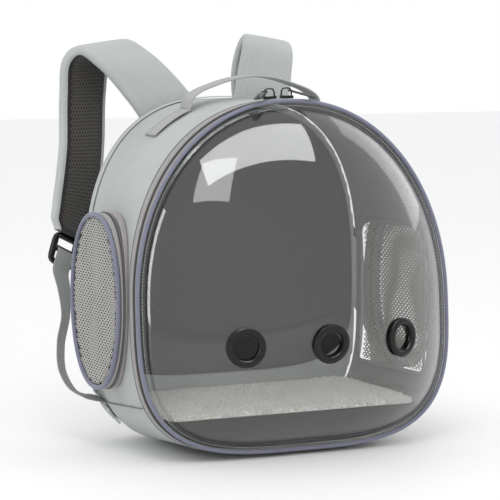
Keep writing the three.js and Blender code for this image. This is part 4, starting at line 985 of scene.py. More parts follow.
cut_out(dome, [hole_block(seat) for seat in seats])
finish_piece(dome, ["dome_window"])
for (point, facing, fall), word in zip(seats, ("left", "centre", "right")):
    sleeve, back = GROMMET_HOLE + GROMMET_SLEEVE, -DOME_THICK - fall - 2 * CLEAR
    deep = back - GROMMET_FLANGE / 2
    face = [(GROMMET_OUTER - 0.9 + 0.9 * math.cos(t), CLEAR + 1.9 + 0.9 * math.sin(t)) for t in np.linspace(0, 1.3, 5)]
    bowl = [(16.9, CLEAR + 4.0), (15.6, CLEAR + 4.1), (14.2, CLEAR + 3.7), (12.9, CLEAR + 2.6), (12.15, CLEAR + 1.0)]
    profile = [(sleeve, back), (sleeve, CLEAR), (GROMMET_OUTER, CLEAR)] + face + [(18.3, CLEAR + 3.55)] + bowl + [
        (GROMMET_HOLE, back - 0.3), (GROMMET_HOLE + 0.8, deep), (GROMMET_OUTER * 0.95 - 0.8, deep),
        (GROMMET_OUTER * 0.95, deep + 0.8), (GROMMET_OUTER * 0.95, back)]
    ring = ring_piece(f"grommet_ring_{word}", turned(profile, point, facing), [black_plastic], wrap_path=True, sharp=48)
    finish_piece(ring, [f"grommet_{word}"])
lip_angles = around
lip_points = dome_foot(lip_angles, 2.6) + rim_normal * 0.25
row("door_stitches", [(lip_points, np.broadcast_to(rim_normal, lip_points.shape))], 3.4, (2.4, 0.5, 0.4), thread,
    1, closed=True)


# %% [markdown]
# ## Inside the cabin
# Through the dome one sees a stiffening board on the back, the floor pad's front edge and a white plush
# mat that laps over it. Both lie in shade, which is painted into their near-black lining. The board and
# the pad are thin, so shaping their solids with softer edges is enough. The plush needs a pile: a low
# swollen slab, covered in short tufts.

# %% Back board and floor pad
def plate(name, layers, angles, materials, rows_between=14):
    """A plate on the back from outlines at several depths, filled in to its middle."""
    middle_up = float(section_value("widest", np.float64(1.0)))
    edges = []
    for back, inset, lowest in layers:
        x, z = outline_point(np.ones_like(angles), angles, inset, lowest)
        edges.append(np.stack([x, np.full_like(x, back - BODY_DEPTH / 2), z], -1))

    def filled(edge):
        centre = np.array([0, edge[0, 1], middle_up])
        wave = 0.3 * ripple(edge[:, 0], edge[:, 2], 60.0, 21)[:, None] * np.array([0.0, 1.0, 0.0])
        return [centre + (edge - centre) * s + wave * s * (1 - s) for s in np.linspace(1, 0, rows_between)[1:]]

    rings = filled(edges[0])[::-1] + edges + filled(edges[-1])
    obj = ring_piece(name, np.stack(rings, 1), materials, wrap_path=True, sharp=60)
    return welded(obj)


board_angles = np.linspace(SEAM_RIGHT, SEAM_RIGHT + FULL_TURN, 200, endpoint=False)
# The board's near-black lining is painted shade.
board = plate("back_board", [(BODY_DEPTH - 0.2, 10, 62), (BODY_DEPTH - 2.2, 10, 62), (BODY_DEPTH - 3.0, 11.5, 63.5)],
              board_angles, [shade_painted_lining])
finish_piece(board, ["inner_back_board"])


# %% Swollen pads
def swollen(obj, voxel, cap, pressure=4.0, smooth_level=1):
    """Blows a closed mesh up a little with Cloth and keeps each point within a cap of where it was."""
    remesh = obj.modifiers.new("even", "REMESH")
    remesh.mode, remesh.voxel_size = "VOXEL", voxel * MM
    baked(obj)
    rest = np.array([v.co for v in obj.data.vertices])
    cloth = obj.modifiers.new("cloth", "CLOTH")
    cloth.settings.use_pressure = True
    cloth.settings.uniform_pressure_force = pressure
    cloth.settings.effector_weights.gravity = 0
    cloth.settings.quality = 4
    cloth.collision_settings.use_collision = False
    for step in range(1, 21):
        bpy.context.scene.frame_set(step)
    baked(obj)
    bpy.context.scene.frame_set(1)
    moved = np.array([v.co for v in obj.data.vertices]) - rest
    length = np.linalg.norm(moved, axis=1, keepdims=True)
    moved *= np.minimum(1, cap * MM / np.maximum(length, 1e-9))
    obj.data.vertices.foreach_set("co", (rest + moved).astype(np.float32).ravel())
    obj.data.update()
    finer = obj.modifiers.new("finer", "SUBSURF")
    finer.levels = finer.render_levels = smooth_level
    baked(obj)
    obj.data.shade_smooth()
    return obj


def box_slab(name, corners_low, corners_high, size, materials):
    """A slab from a grid of lower and upper points, with closed sides."""
    columns = size[0]
    low, high = np.asarray(corners_low), np.asarray(corners_high)
    rings = []
    for i in range(columns):
        rings.append(np.concatenate([high[i], low[i][::-1]]))
    return ring_piece(name, np.stack(rings), materials, sharp=60)


# %% Floor pad and mat
FLOOR_TOP, EASE = 40.0, 0.9
PAD_FRONT_SHARE, PAD_BACK_SHARE, PAD_LOW, PAD_END_GAP = 0.03, 0.975, 4.2, 0.8
PAD_LIP, PAD_LIP_DEPTH = 0.5, 2
floor_angle = -math.pi / 2
bottom_depth = lambda share: body_front + share * (float(depth_at(floor_angle)) - body_front)
pad_front = float(rim_back(floor_angle)) + bottom_depth(PAD_FRONT_SHARE)
pad_back = float(rim_back(floor_angle)) + bottom_depth(PAD_BACK_SHARE)
levels = np.linspace(PAD_LOW, FLOOR_TOP, 14)
depths = np.linspace(pad_front + PAD_END_GAP, pad_back - PAD_END_GAP, 60)
half_at = side_x(depths[:, None], levels[None, :]) - WALL - EASE - 0.5
pad_rings = []
for i, back in enumerate(depths):
    left = [(-half_at[i, j], levels[j]) for j in range(len(levels))]
    across = np.linspace(-1, 1, 40)
    top = [(half_at[i, -1] * a, FLOOR_TOP - 0.25 + 0.2 * math.sin(a * 9 + back / 30)) for a in across]
    right = [(half_at[i, j], levels[j]) for j in range(len(levels) - 1, -1, -1)]
    under = [(half_at[i, 0] * a, levels[0]) for a in np.linspace(0.95, -0.95, 40)]
    ring = left + top[1:-1] + right + under
    pad_rings.append([(x, back - BODY_DEPTH / 2 + (PAD_LIP if i == 0 and z > FLOOR_TOP - PAD_LIP_DEPTH else 0), z)
                      for x, z in ring])
count = len(pad_rings[0]) - len(pad_rings[0]) % 2
# The pad's near-black lining is painted shade.
pad = ring_piece("floor_board", np.array(pad_rings)[:, :count], [shade_painted_lining], sharp=50)
finish_piece(pad, ["floor_pad"])

MAT_THICK, MAT_OVERHANG, MAT_CURL = 8.0, 4.0, 5.0
mat_low, mat_high = [], []
for i, k in enumerate(np.linspace(0, 1, 44)):
    back = (pad_front - MAT_OVERHANG) * (1 - k) + (pad_back - 1.0) * k
    half = float(side_x(back, FLOOR_TOP)) - WALL - CLEAR - 3.0
    across = np.linspace(-1, 1, 72)
    edge = np.maximum(np.abs(across) ** 10, abs(2 * k - 1) ** 14)
    curl = MAT_CURL * np.maximum(across, 0) ** 4 * k ** 5
    x = half * across * (1 - 0.05 * abs(2 * k - 1) ** 6)
    wave = 0.5 * ripple(x, np.full_like(x, back), 45.0, 31)
    low_z = FLOOR_TOP + 0.5 + curl
    high_z = low_z + (MAT_THICK - 2.2) * (1 - 0.6 * edge) + wave * (1 - edge)
    y = np.full_like(x, back - BODY_DEPTH / 2)
    mat_low.append(np.stack([x, y, low_z], -1))
    mat_high.append(np.stack([x, y, high_z], -1))
mat = box_slab("plush_base", mat_low, mat_high, (44, 72), [plush])
swollen(mat, 3.0, 0.7)
finish_piece(mat, ["plush_mat"])


# %% Geometry Nodes tree for the pile
def pile_tree():
    tree, entry, exit_node = new_tree("plush pile", [
        ("Density", "NodeSocketFloat", 160000.0), ("Height", "NodeSocketFloat", 0.0045),
        ("Width", "NodeSocketFloat", 0.0011), ("Finish", "NodeSocketMaterial", None)])
    scatter = add(tree, "GeometryNodeDistributePointsOnFaces", {"Seed": 7}, {
        "Mesh": entry.outputs["Geometry"], "Density": entry.outputs["Density"]})
    tuft = add(tree, "GeometryNodeMeshCone", {"Vertices": 4, "Radius Top": 0.0}, {
        "Radius Bottom": entry.outputs["Width"], "Depth": entry.outputs["Height"]})
    lean = add(tree, "FunctionNodeRandomValue", {"Min": (-0.55, -0.55, -3.1), "Max": (0.55, 0.55, 3.1)},
               data_type="FLOAT_VECTOR")
    turned_to = add(tree, "FunctionNodeRotateRotation", links={"Rotation": scatter.outputs["Rotation"]},
                    rotation_space="LOCAL")
    euler = add(tree, "FunctionNodeEulerToRotation", links={"Euler": lean.outputs["Value"]})
    tree.links.new(euler.outputs[0], turned_to.inputs["Rotate By"])
    size = add(tree, "FunctionNodeRandomValue", {"Min": 0.6, "Max": 1.25, "Seed": 3}, data_type="FLOAT")
    place = add(tree, "GeometryNodeInstanceOnPoints", links={
        "Points": scatter.outputs["Points"], "Instance": tuft.outputs["Mesh"], "Rotation": turned_to.outputs[0],
        "Scale": size.outputs["Value"]})
    real = add(tree, "GeometryNodeRealizeInstances", links={"Geometry": place.outputs[0]})
    soft = add(tree, "GeometryNodeSetShadeSmooth", links={"Geometry": real.outputs[0]})
    finish = add(tree, "GeometryNodeSetMaterial", links={"Geometry": soft.outputs[0],
                                                         "Material": entry.outputs["Finish"]})
    tree.links.new(finish.outputs[0], exit_node.inputs[0])
    return tree


plush_pile = pile_tree()
pile_bed = mat.data.copy()
pile = bpy.data.objects.new("plush_pile", pile_bed)
bpy.context.scene.collection.objects.link(pile)
cloth_top = bmesh.new()
cloth_top.from_mesh(pile_bed)
bmesh.ops.delete(cloth_top, geom=[f for f in cloth_top.faces if f.normal.z < -0.2], context="FACES")
cloth_top.to_mesh(pile_bed)
cloth_top.free()
through_tree(pile, plush_pile, {"Density": 260000.0, "Height": 0.0042, "Width": 0.0010, "Finish": plush})
finish_piece(pile)


# %% [markdown]
# ## The side pockets
# Each side carries a raised oval pocket: a piped edge, a gusset split by its own zip, and a face of
# knitted net that sags a little. The oval is a superellipse, a shade squarer than an ellipse, and
# the gusset's inner edge follows the curved side of the body, so its rings read the skin's width.

# %% Pocket rings
pocket_top = RIM_HALF_WIDTH + POCKET_STAND
oval = np.linspace(-math.pi / 2, 1.5 * math.pi, 200, endpoint=False)


def pocket_point(side, x, back, up):
    x, back, up = np.broadcast_arrays(x, back, up)
    return np.stack([side * x, back - BODY_DEPTH / 2, up], -1)


outer_edge = pocket_top - 2 * POCKET_PIPING - CLEAR
gusset_inset = POCKET_PIPING / 2
foot_back, foot_up = oval_point(oval, gusset_inset + POCKET_WALL / 2)
foot = side_x(foot_back, foot_up) + 2 * CLEAR


def gusset(side, from_share, to_share, ease_from, ease_to, inset, bulge):
    """A soft band round the oval between two shares of the way from the piping to the body."""
    rings = []
    for share, out in [(0.0, 0.0), (0.15, 0.6), (0.5, 1.0), (0.85, 0.6), (1.0, 0.0)]:
        start = outer_edge + (foot - outer_edge) * from_share - ease_from
        end = outer_edge + (foot - outer_edge) * to_share + ease_to
        back, up = oval_point(oval, inset - bulge * out)
        rings.append(pocket_point(side, start + (end - start) * share, back, up))
    for share in (1.0, 0.75, 0.5, 0.25, 0.0):
        start = outer_edge + (foot - outer_edge) * from_share - ease_from
        end = outer_edge + (foot - outer_edge) * to_share + ease_to
        back, up = oval_point(oval, inset + POCKET_WALL)
        rings.append(pocket_point(side, start + (end - start) * share, back, up))
    return np.stack(rings, 1)


def pocket_face(side):
    def place(u, v):
        # distance from the oval's middle as a share of the oval in that direction
        a, b = (u - pocket_middle) / (pocket_half - 5.5), (v - POCKET_UP) / (POCKET_HALF_TALL - 5.5)
        share = np.minimum((np.abs(a) ** POCKET_POWER + np.abs(b) ** POCKET_POWER) ** (1 / POCKET_POWER), 1.0)
        angle = np.arctan2(b, a)
        dent = POCKET_DENT * (1 - share ** 2) * np.sin(3 * angle + 1) * share
        folds = 0.5 * (1 - share) * ripple(u, v, 45.0, 61)
        return pocket_point(side, pocket_top - POCKET_PIPING + dent * 0.9 + folds - 0.3, u, v)
    return place


def inside_oval(u, v):
    a, b = (u - pocket_middle) / (pocket_half - 3.2), (v - POCKET_UP) / (POCKET_HALF_TALL - 3.2)
    return np.abs(a) ** POCKET_POWER + np.abs(b) ** POCKET_POWER < 1.0


def backing_cloth(side, word):
    """A cloth that closes the pocket's back, just off the wall, as rings drawn in to the middle. Its near-black lining
    is painted shade.
    """
    rings = []
    for share, lift in [(0.0, 0.5)] + [(s, 0.5) for s in np.linspace(0.04, 1, 12)] + [(1.0, 1.1)] + [
            (s, 1.1) for s in np.linspace(1, 0.04, 12)] + [(0.0, 1.1)]:
        back, up = oval_point(oval, BACKING_INSET)
        back, up = pocket_middle + (back - pocket_middle) * share, POCKET_UP + (up - POCKET_UP) * share
        rings.append(pocket_point(side, side_x(back, up) + lift, back, up))
    cloth = welded(ring_piece(f"pocket_backing_{word}", np.stack(rings, 1), [shade_painted_lining], wrap_path=True))
    return finish_piece(cloth)


# %% Pocket pieces
NET_INSET, BACKING_INSET = 5.2, 5.5
for side, word in ((-1, "left"), (1, "right")):
    finish_piece(ring_piece(f"pocket_gusset_{word}", gusset(side, 0.0, 0.36, 0.0, 0.3, gusset_inset, 0.35), [zip_tape],
                            wrap_path=True), [f"pocket_outer_band_{word}"])
    finish_piece(ring_piece(f"pocket_foot_{word}", gusset(side, 0.6, 1.0, 0.3, -0.4, gusset_inset, 0.3), [zip_tape],
                            wrap_path=True), [f"pocket_inner_band_{word}"])
    finish_piece(ring_piece(f"pocket_zip_bed_{word}", gusset(side, 0.37, 0.59, 0.0, 0.0, gusset_inset + 0.4, 0.0),
                            [dark_thread], wrap_path=True))
    turn = np.linspace(0, FULL_TURN, 14, endpoint=False)
    start = oval + 0.5 * math.pi
    lap = np.exp(-((np.minimum(start, FULL_TURN - start)) / 0.05) ** 2)
    radius = POCKET_PIPING * (0.97 + 0.14 * lap + 0.02 * ripple(oval * 60, oval * 0, 20.0, 9))
    rings = []
    for t in turn:
        back, up = oval_point(oval, POCKET_PIPING * 1.0 - radius * math.cos(t))
        rings.append(pocket_point(side, pocket_top - POCKET_PIPING + radius * math.sin(t), back, up))
    finish_piece(ring_piece(f"pocket_cord_{word}", np.stack(rings, 1), [piping_cloth], wrap_path=True),
                 [f"pocket_piping_{word}"])
    net = net_piece(f"pocket_net_{word}", pocket_face(side), inside_oval,
                    ((POCKET_FRONT, POCKET_UP - POCKET_HALF_TALL), (pocket_end, POCKET_UP + POCKET_HALF_TALL)),
                    NET_PITCH, NET_HOLE, NET_THICK, net_yarn, [f"pocket_mesh_{word}"], stretch=NET_FLATNESS,
                    flip=side < 0)
    if side < 0:
        backing = backing_cloth(side, word)
    zip_x = outer_edge + (foot - outer_edge) * 0.48
    back, up = oval_point(oval, gusset_inset * 0.5)
    line = pocket_point(side, zip_x, back, up)
    facing = unit(np.cross(np.roll(line, -1, 0) - np.roll(line, 1, 0), [side * 1.0, 0, 0]))
    facing *= np.sign((facing * (line - line.mean(0))).sum(-1, keepdims=True))
    row(f"pocket_teeth_{word}", [(line, facing)], 1.6, (1.1, 2.6, 1.6), coil_plastic, 1, closed=True,
        replaced=[f"pocket_coil_{word}"])
    back, up = oval_point(oval, gusset_inset - 0.45)
    stitched = [(pocket_point(side, outer_edge + (foot - outer_edge) * s, back, up), facing) for s in (0.1, 0.72)]
    row(f"pocket_stitches_{word}", stitched, 3.2, (2.3, 0.45, 0.4), thread, 1, closed=True)


# %% [markdown]
# ## Back panel
# The side that lies against the wearer is padded, with two sewn channels that let air through. It is
# blown up with Cloth from a slightly thinner plate, since a padded panel is foam that swells between
# seams, and the channels are pressed in afterwards because remeshing would wipe them out.

# %% Padded back
BACK_PAD = 8.0
back_face = BODY_DEPTH + CLEAR + BACK_PAD


panel = plate("back_padding", [(BODY_DEPTH + CLEAR + 0.3, 0.6, 0), (BODY_DEPTH + CLEAR + 2.6, 0.4, 0),
                               (BODY_DEPTH + CLEAR + 4.6, 4.0, 0), (back_face - 1.6, 14.0, 0)],
              board_angles, [fabric])
swollen(panel, 4.0, 1.2)
co = np.array([v.co for v in panel.data.vertices]) / MM
rear = np.clip((co[:, 1] - (BODY_DEPTH / 2 + 3.0)) / 3.0, 0, 1)
for middle in (-52.0, 52.0):
    co[:, 1] -= rear * 2.6 * np.exp(-((co[:, 0] - middle - 10 * np.sin(co[:, 2] / 90)) / 3.2) ** 2)
co[:, 1] += rear * 0.35 * ripple(co[:, 0], co[:, 2], 60.0, 77)
panel.data.vertices.foreach_set("co", (co * MM).astype(np.float32).ravel())
layer = panel.data.uv_layers.new(name="cloth")
loops = np.array([l.vertex_index for l in panel.data.loops])
layer.data.foreach_set("uv", (co[loops][:, [0, 2]] * MM).astype(np.float32).ravel())
finish_piece(panel, ["back_panel"])

# %% Binding along the back edge
arch = np.linspace(SEAM_RIGHT, SEAM_LEFT, 240)
far = depth_at(arch)
profile = [(-9.0, CLEAR), (-9.0, 0.8), (-8.4, 1.25), (-4.5, 1.35), (-1.0, 1.3), (-0.2, 0.9), (-0.1, CLEAR), (-4.5, CLEAR)]
pucker = 0.12 * np.sin(arch * 200 * FULL_TURN / 9.0)
binding = np.stack([skin(arch, far + d, h + (pucker if h > 1 else 0 * pucker)) for d, h in profile], 1)
finish_piece(ring_piece("back_edge_binding", binding, [fabric]), ["back_binding"])
row("binding_stitches", [skin_line(arch, far - 7.6, 1.3)], 3.4, (2.5, 0.5, 0.45), thread, 1)


# %% [markdown]
# ## Shoulder straps
# A strap is a long pad: a cloth cover on the outside, foam, and dark spacer mesh against the body,
# with the cover folded round the edges. It stands up from the top of the back, folds over and hangs.
# Remeshing would erase such a thin strip, so it is swept along its line, with a soft section.

# %% Lines of the straps
STRAP_ATTACH_UP, STRAP_PEAK, STRAP_REACH = 333.0, 415.0, 48.0
STRAP_COVER = 4.0
STRAP_ROWS = {
    "left": [(-0.31, 0.0, -0.16, 0, 16, 1), (-0.34, 0.0, 0.12, 0, 16, 1), (-0.46, 0.04, 0.47, 3, 14, 1),
             (-0.63, 0.12, 0.84, 8, 10, 1), (-0.74, 0.34, 1.0, 14, 7, 1), (-0.8, 0.72, 0.84, 20, 4, 1),
             (-0.805, 0.96, 0.36, 24, 0, 1), (-0.81, 1.0, -0.32, 25, 0, 1), (-0.85, 0.96, -0.98, 24, -10, 1),
             (-0.895, 0.88, -1.36, 22, -24, 0.9), (-0.915, 0.84, -1.47, 22, -28, 0.62)],
    "right": [(0.27, 0.0, -0.16, 0, 0, 1), (0.28, 0.0, 0.15, 0, 0, 1), (0.31, 0.03, 0.6, 4, -4, 1),
              (0.345, 0.12, 0.95, 10, -8, 1), (0.36, 0.36, 1.06, 14, -8, 1), (0.355, 0.72, 0.92, 18, -6, 1),
              (0.345, 0.93, 0.5, 20, -3, 1), (0.47, 1.0, -0.2, 4, 10, 1), (0.7, 0.98, -0.88, -14, 16, 1),
              (0.87, 0.9, -1.34, -22, 24, 0.9), (0.905, 0.86, -1.46, -22, 28, 0.62)],
}


def through_points(points, t):
    """A centripetal Catmull-Rom curve through points, at shares t of its intervals."""
    points = np.asarray(points, float)
    count = len(points)
    padded = np.concatenate([[2 * points[0] - points[1]], points, [2 * points[-1] - points[-2]]])
    place = np.clip(np.asarray(t, float), 0, 1) * (count - 1)
    i = np.minimum(place.astype(int), count - 2)
    w = (place - i)[..., None]
    p0, p1, p2, p3 = (padded[i + k] for k in range(4))
    d0, d1, d2 = (np.maximum(((b - a) ** 2).sum(-1, keepdims=True) ** 0.25, 1e-4) for a, b in ((p0, p1), (p1, p2), (p2, p3)))
    t1 = ((p1 - p0) / d0 - (p2 - p0) / (d0 + d1) + (p2 - p1) / d1) * d1
    t2 = ((p2 - p1) / d1 - (p3 - p1) / (d1 + d2) + (p3 - p2) / d2) * d1
    return p1 + t1 * w + (-3 * p1 + 3 * p2 - 2 * t1 - t2) * w ** 2 + (2 * p1 - 2 * p2 + t1 + t2) * w ** 3


def path_frames(points, t):
    point = through_points(points, t)
    tangent = unit(through_points(points, np.minimum(t + 1e-4, 1)) - through_points(points, np.maximum(t - 1e-4, 0)))
    return point, tangent


def strap_frames(rows, steps):
    table = np.array(rows, float)
    along = np.stack([table[:, 0] * RIM_HALF_WIDTH,
                      back_face + CLEAR + STRAP_COVER + table[:, 1] * STRAP_REACH - BODY_DEPTH / 2,
                      STRAP_ATTACH_UP + table[:, 2] * (STRAP_PEAK - STRAP_ATTACH_UP)], -1)
    t = np.linspace(0, 1, steps)
    point, tangent = path_frames(along, t)
    place = t * (len(table) - 1)
    smooth = lambda column: np.interp(place, np.arange(len(table)), table[:, column])
    turn, roll, width = smooth(3) * DEG, smooth(4) * DEG, smooth(5)
    side = np.stack([np.cos(turn) * np.cos(roll), np.sin(turn) * np.cos(roll), np.sin(roll)], -1)
    side[-1] = unit(side[-1] - tangent[-1] * (side[-1] @ tangent[-1]))
    return point, tangent, side, unit(np.cross(side, tangent)), width


def swept(frames, profile):
    """Rings of a section given as (across, high) pairs in millimetres."""
    point, _, side, face, width = frames
    return np.stack([point + side * (a * width)[:, None] + face * np.broadcast_to(h, width.shape)[:, None]
                     for a, h in profile], 1)


strap_sets = {word: strap_frames(rows_of, 150) for word, rows_of in STRAP_ROWS.items()}
print("strap ends at", {w: tuple(np.round(f[0][-1], 1)) for w, f in strap_sets.items()})


# %% Covers, pads and their net
for word, frames in strap_sets.items():
    flap = [(-27.5, -6.0), (-30.5, -6.1), (-32.5, -4.9), (-33.0, -2.2), (-32.8, 0.8), (-31.2, 2.9), (-27.0, 3.6),
            (-14.0, 3.95), (0.0, 4.0), (14.0, 3.95), (27.0, 3.6), (31.2, 2.9), (32.8, 0.8), (33.0, -2.2), (32.5, -4.9),
            (30.5, -6.1), (27.5, -6.0)]
    hollow = [(27.5, -5.3), (30.3, -5.2), (31.6, -3.8), (31.9, -1.0), (29.0, 0.6), (14.0, 0.9), (0.0, 1.0), (-14.0, 0.9),
              (-29.0, 0.6), (-31.9, -1.0), (-31.6, -3.8), (-30.3, -5.2), (-27.5, -5.3)]
    profile = flap + hollow
    cover = ring_piece(f"strap_cloth_{word}", swept(frames, profile), [fabric], sharp=60)
    finish_piece(cover, [f"strap_cover_{word}"])
    foam = [(-29.6, -3.6), (-28.6, -5.0), (-27.0, -5.8), (-20.0, -6.5), (0.0, -6.8), (20.0, -6.5), (27.0, -5.8),
            (28.6, -5.0), (29.6, -3.6), (29.9, -1.4), (28.0, 0.1), (10.0, 0.4), (-10.0, 0.4), (-28.0, 0.1), (-29.9, -1.4),
            (-29.8, -2.4)]
    pad = ring_piece(f"strap_foam_{word}", swept(frames, foam), [strap_pad], sharp=60)
    finish_piece(pad, [f"strap_lining_{word}"])
    point, tangent, side, face, width = frames
    length = run_lengths(point[None], 1, False)

    def mesh_place(u, v, frames=frames, length=length):
        point, tangent, side, face, width = frames
        at = lambda values: np.stack([np.interp(v, length, values[:, k]) for k in range(3)], -1)
        scale = np.interp(v, length, width)
        out = -6.55 - 0.5 * (1 - (u / 27.0) ** 2)
        return at(point) + at(side) * (u * scale)[..., None] + at(face) * out[..., None]

    net_piece(f"strap_net_{word}", mesh_place, lambda u, v, end=length[-1]: (np.abs(u) < 27.0) & (v > 1) & (v < end - 1),
              ((-27.0, 0.0), (27.0, length[-1])), 4.4, 0.66, 0.5, strap_yarn)
    seam = [(point + side * (a * width)[:, None] + face * 3.72, face) for a in (-26.0, 26.0)]
    seam += [(point + side * (a * width)[:, None] - face * 6.15, -face) for a in (-28.9, 28.9)]
    row(f"strap_stitches_{word}", seam, 3.6, (2.6, 0.55, 0.5), thread, 1)


# %% [markdown]
# ## Buckles, sliders and pulls
# The ladder buckles, the zip sliders and their pulls are hard, and their solids have the right shape.
# They only lack the small radius of a moulded or cast edge, where the light catches. A copy of each
# solid is welded, its flat triangles are merged, and a Bevel modifier rounds the edges.

# %% Rounded copies of hard solids
def rounded_copy(node, name, material, width, body=carrier, segments=2, limit=28.0):
    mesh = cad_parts[node].data.copy()
    mesh.name = name
    mesh.materials.clear()
    mesh.materials.append(material)
    shell = bmesh.new()
    shell.from_mesh(mesh)
    bmesh.ops.remove_doubles(shell, verts=shell.verts, dist=2e-5)
    bmesh.ops.dissolve_limit(shell, angle_limit=3 * DEG, verts=shell.verts, edges=shell.edges)
    bmesh.ops.recalc_face_normals(shell, faces=shell.faces)
    shell.to_mesh(mesh)
    shell.free()
    for polygon in mesh.polygons:
        polygon.material_index = 0
    obj = bpy.data.objects.new(name, mesh)
    bpy.context.scene.collection.objects.link(obj)
    bevel = obj.modifiers.new("edges", "BEVEL")
    bevel.width, bevel.segments, bevel.limit_method, bevel.angle_limit = width * MM, segments, "ANGLE", limit * DEG
    bevel.harden_normals = True
    baked(obj)
    obj.data.shade_smooth()
    obj.data.set_sharp_from_angle(angle=40 * DEG)
    return finish_piece(obj, [node], body)


for word in ("left", "right"):
    rounded_copy(f"strap_buckle_{word}", f"ladder_buckle_{word}", black_plastic, 0.7)
    rounded_copy(f"slider_{word}", f"zip_slider_{word}", gunmetal, 0.25)
    rounded_copy(f"pull_{word}", f"zip_pull_{word}", gunmetal, 0.3, body=f"pull_{word}")
    rounded_copy(f"pocket_slider_{word}", f"pocket_zip_slider_{word}", gunmetal, 0.5)


# %% [markdown]
# ## Webbing and its anchors
# Below each buckle a flat webbing hangs free to a tab sewn on the base corner. Webbing bends easily
# over its flat side and hardly over its edge, so the strip twists slowly along one smooth line.

# %% Webbing
WEBBING_WIDTH, WEBBING_THICK, BUCKLE_LENGTH, BUCKLE_THICK = 25.0, 1.6, 35.0, 5.0
ANCHOR_DROP, ANCHOR_ANGLE, ANCHOR_INSET, ANCHOR_THICK = 4.0, 13.0, 11.0, 2.0
HANG = [(0.12, 0.005, 0.015), (0.3, 0.03, 0.04), (0.5, 0.1, 0.06), (0.68, 0.125, 0.08), (0.84, 0.09, 0.07),
        (0.94, 0.045, 0.03)]
FIRST_TURN, TURN_FROM, TURN_HELD, TURN_LEAVES, TURN_ENDS = 0.42, 0.19, 0.4, 0.6, 0.84
soft_strip = [(-1, -0.35), (-1, 0.35), (-0.93, 1), (0, 1.0), (0.93, 1), (1, 0.35), (1, -0.35), (0.93, -1), (0, -1),
              (-0.93, -1)]


def eased(t, start, end):
    share = np.clip((t - start) / (end - start), 0, 1)
    return share * share * (3 - 2 * share)


def strip_rings(point, side, face, width, thick):
    return np.stack([point + side * (a * width / 2) + face * (h * thick / 2) for a, h in soft_strip], 1)


for word, side in (("left", -1), ("right", 1)):
    point, tangent, across, face, _ = (v[-1] for v in strap_sets[word])
    middle = point + tangent * (BUCKLE_LENGTH / 2 + CLEAR)
    top = SEAM_RIGHT + FULL_TURN - ANCHOR_DROP * DEG if side > 0 else SEAM_LEFT + ANCHOR_DROP * DEG
    tab_middle = float(depth_at(top)) - ANCHOR_INSET - WEBBING_WIDTH / 2
    lift = CLEAR + ANCHOR_THICK / 2
    edge_point = skin(top, tab_middle, lift)
    upward = unit(skin(top + side * 2 * DEG, tab_middle, lift) - edge_point)
    seat = edge_point + upward * 2 * CLEAR
    turn_point = seat + upward * WEBBING_WIDTH * 0.5
    straight = seat + (turn_point - seat) * 0.4
    turn_point = turn_point + normal(top, tab_middle) * WEBBING_WIDTH * 0.3
    edge_line = unit(skin(top, tab_middle + 1, lift) - skin(top, tab_middle - 1, lift))
    start = middle - face * (BUCKLE_THICK / 2 + 2 * CLEAR + WEBBING_THICK / 2)
    leave = start + tangent * (BUCKLE_LENGTH / 2 + BUCKLE_THICK)
    path = [start, (start + leave) / 2, leave]
    path += [leave + (turn_point - leave) * a + np.array([side * b, 0, -s]) * RIM_HALF_WIDTH for a, b, s in HANG]
    path += [turn_point, straight, seat]
    t = np.linspace(0, 1, 110)
    point, tangent = path_frames(path, t)
    untwist = FIRST_TURN * eased(t, TURN_FROM, TURN_HELD) + (1 - FIRST_TURN) * eased(t, TURN_LEAVES, TURN_ENDS)
    untwist = untwist[:, None]
    flat_side = -side * across * (1 - untwist) + edge_line * untwist
    flat_side = unit(flat_side - tangent * (flat_side * tangent).sum(-1, keepdims=True))
    facing = unit(np.cross(flat_side, tangent))
    strip = ring_piece(f"webbing_{word}", strip_rings(point, flat_side, facing, WEBBING_WIDTH, WEBBING_THICK * 0.95),
                       [webbing_cloth])
    finish_piece(strip, [f"strap_webbing_{word}"])
    tab_angles = np.linspace(top, top - side * ANCHOR_ANGLE * DEG, 24)
    tab_far = depth_at(tab_angles) - ANCHOR_INSET
    tab_profile = [(-1, 0.0), (-1, 0.6), (-0.92, 1.0), (0, 1.0), (0.92, 1.0), (1, 0.6), (1, 0.0), (0, 0.0)]
    rings = np.stack([skin(tab_angles, tab_far - WEBBING_WIDTH / 2 * (1 - a), CLEAR + ANCHOR_THICK * 0.95 * h)
                      for a, h in tab_profile], 1)
    finish_piece(ring_piece(f"anchor_tab_{word}", rings, [fabric]), [f"strap_anchor_{word}"])
    inner_angles = np.linspace(top - side * 2 * DEG, top - side * (ANCHOR_ANGLE - 2) * DEG, 12)
    tab_lines = [skin_line(inner_angles, depth_at(inner_angles) - ANCHOR_INSET - d, CLEAR + ANCHOR_THICK)
                 for d in (2.5, 22.5)]
    tab_lines += [skin_line(np.full(6, a), depth_at(top) - ANCHOR_INSET - np.linspace(2.5, 22.5, 6), CLEAR + ANCHOR_THICK)
                  for a in (inner_angles[0], inner_angles[-1])]
    row(f"anchor_stitches_{word}", tab_lines, 3.0, (2.2, 0.5, 0.45), thread, 1)


# %% [markdown]
# ## Carry handle
# The handle is the same webbing, sewn down to the roof by a boxed patch at each end and standing up
# in a low arch between them. Its line is the sewn stretch, read from the skin, and then a chosen arc.

